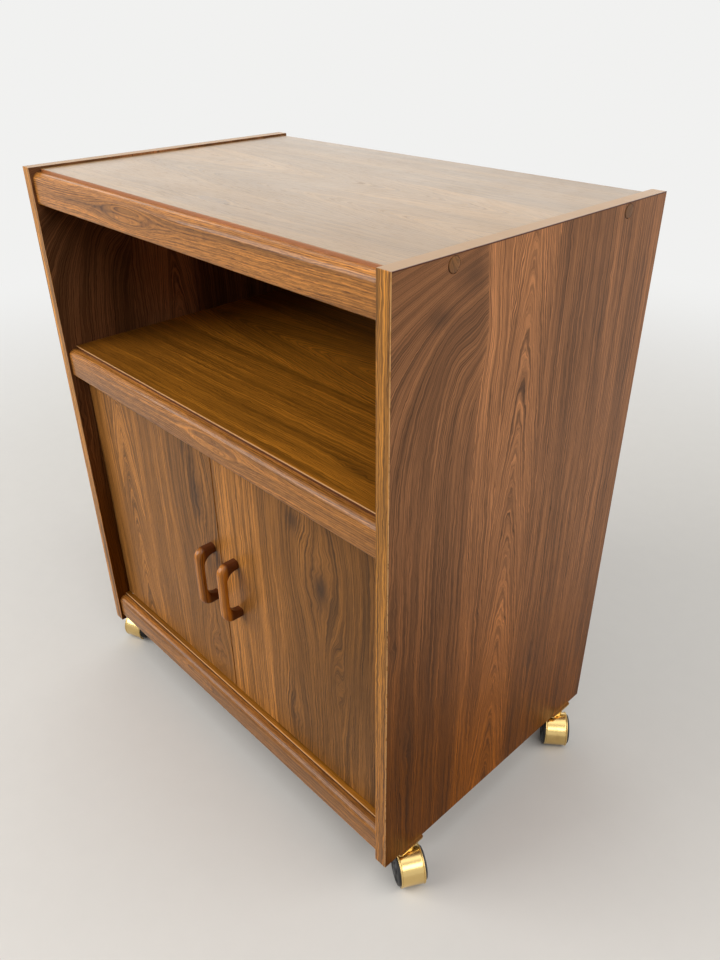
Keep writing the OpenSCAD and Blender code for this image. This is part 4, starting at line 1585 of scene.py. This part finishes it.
@dataclass
class Studio:
    """The plain pale floor, the soft lights and the camera."""
    camera_place: Vec = (0.6968, -0.5899, 0.8983)
    azimuth: float = 46.846
    elevation: float = 30.836
    roll: float = -0.622
    lens: float = 30.155
    sensor: float = 36.0
    floor_start: float = 0.02
    floor_reach: float = 12.0
    floor_rings: int = 24
    floor_spokes: int = 96
    floor_mottle: float = 0.02
    clear_floor: float = 0.8
    white_floor: float = 2.4
    floor_color: Vec = srgb(222, 220, 216)
    floor_bounce: Vec = srgb(116, 112, 106)
    background: Vec = (0.88, 0.88, 0.87)
    sky: Vec = (0.93, 0.96, 1.0)
    room_light: float = 0.14
    target: Vec = (0.0, 0.0, 0.4)
    lamps: tuple[Lamp, ...] = (
        Lamp("white_wall", (-1.9, 2.0, 1.2), 4.0, 2.4, 29.0, (1.0, 0.99, 0.94)),
        Lamp("window", (-1.7, -2.4, 1.5), 2.2, 1.8, 50.0, (1.0, 0.99, 0.97)),
        Lamp("front_lamps", (-1.0, -2.0, 2.6), 2.2, 1.6, 24.0, (1.0, 0.97, 0.93)),
        Lamp("ceiling", (-0.2, 0.0, 3.2), 3.0, 3.0, 28.0, (1.0, 0.98, 0.96)),
        Lamp("side_fill", (2.4, 0.3, 2.4), 5.0, 1.1, 64.0, (1.0, 0.97, 0.94)))

    def camera(self) -> None:
        """Stand the camera where the photograph was taken from.

        It looks along the azimuth and down by the elevation: forwards is (-sin a cos e, cos a cos e,
        -sin e), and the roll turns the picture about that direction.
        """
        a, e, r = (math.radians(d) for d in (self.azimuth, self.elevation, self.roll))
        forward = Vector((-math.sin(a) * math.cos(e), math.cos(a) * math.cos(e), -math.sin(e)))
        level = Vector((math.cos(a), math.sin(a), 0.0))
        upright = level.cross(forward)
        right = level * math.cos(r) + upright * math.sin(r)
        up = upright * math.cos(r) - level * math.sin(r)
        data = bpy.data.cameras.new("camera")
        data.sensor_width = self.sensor
        data.lens = self.lens
        data.clip_start, data.clip_end = 0.01, 60.0
        camera = add_object("camera", data)
        turn = Matrix((right, up, -forward)).transposed().to_4x4()
        camera.matrix_world = Matrix.Translation(self.camera_place) @ turn
        bpy.context.scene.camera = camera

    def floor(self) -> None:
        """Lay the floor: a disc that turns into the white background far from the cabinet.

        Near the cabinet it is plain matt paint, which keeps the shadow. The rings' radii grow with the
        square of their share.
        """
        share = np.linspace(0.0, 1.0, self.floor_rings)[:, None]
        turn = np.linspace(0.0, 2.0 * np.pi, self.floor_spokes, endpoint=False)[None, :]
        radius = self.floor_start + (self.floor_reach - self.floor_start) * share ** 2
        x, y = radius * np.cos(turn), radius * np.sin(turn)
        mesh = grid_mesh("floor", np.stack([x, y, np.zeros_like(x)], -1))
        net = Paint("floor_paint")
        place, seen = net.place(), net.seen()
        lift = net.noise(place, 30.0, 4.0, 0.6).swing(self.floor_mottle) + 1.0
        color = net.times(net.mix(seen, self.floor_bounce, self.floor_color), lift)
        net.set(Base_Color=color, Roughness=0.8, Specular_IOR_Level=0.1)
        far = net.span(net.add("VectorMath", place, operation="LENGTH", out="Value"), self.clear_floor,
                       self.white_floor)
        shown = net.add("Emission", self.background)
        net.show(net.add("MixShader", far * seen, net.surface(), shown))
        mesh.materials.append(net.material)
        add_object("floor", mesh)

    def world(self) -> None:
        """Light the room softly, and show it white to the camera."""
        world = bpy.data.worlds.new("room")
        bpy.context.scene.world = world
        world.use_nodes = True
        net = Net(world.node_tree)
        soft = net.add("Background", self.sky, self.room_light)
        shown = net.add("Background", self.background)
        net.node("OutputWorld", net.add("MixShader", net.seen(), soft, shown))

    def build(self) -> None:
        """Set up the camera, the lights, the floor and the view."""
        self.camera()
        self.floor()
        self.world()
        for lamp in self.lamps:
            lamp.hang(self.target)
        bpy.context.scene.view_settings.view_transform = "Standard"


def main() -> None:
    """Build the sub-assemblies in order and report each piece."""
    logging.basicConfig(level=logging.INFO, format="%(name)s: %(message)s")
    Studio().build()
    steel = MetalFinish("zinc_steel", "steel", srgb(196, 198, 200), srgb(140, 140, 138), 0.34)
    brass = MetalFinish("bright_brass", "brass", srgb(220, 190, 126), srgb(180, 140, 76), 0.20,
                        brush=(300.0, 300.0, 300.0))
    black = PlasticFinish("wheel_black", "wheel_black", srgb(24, 24, 26), srgb(70, 66, 60), 0.45)
    Boards().build()
    Rails().build()
    Pulls().build()
    ScrewCaps().build()
    for place in ("front_left", "front_right", "rear_left", "rear_right"):
        Caster(place).build(brass, black, steel)
    Fittings().build(steel, brass)


if __name__ == "__main__":
    main()
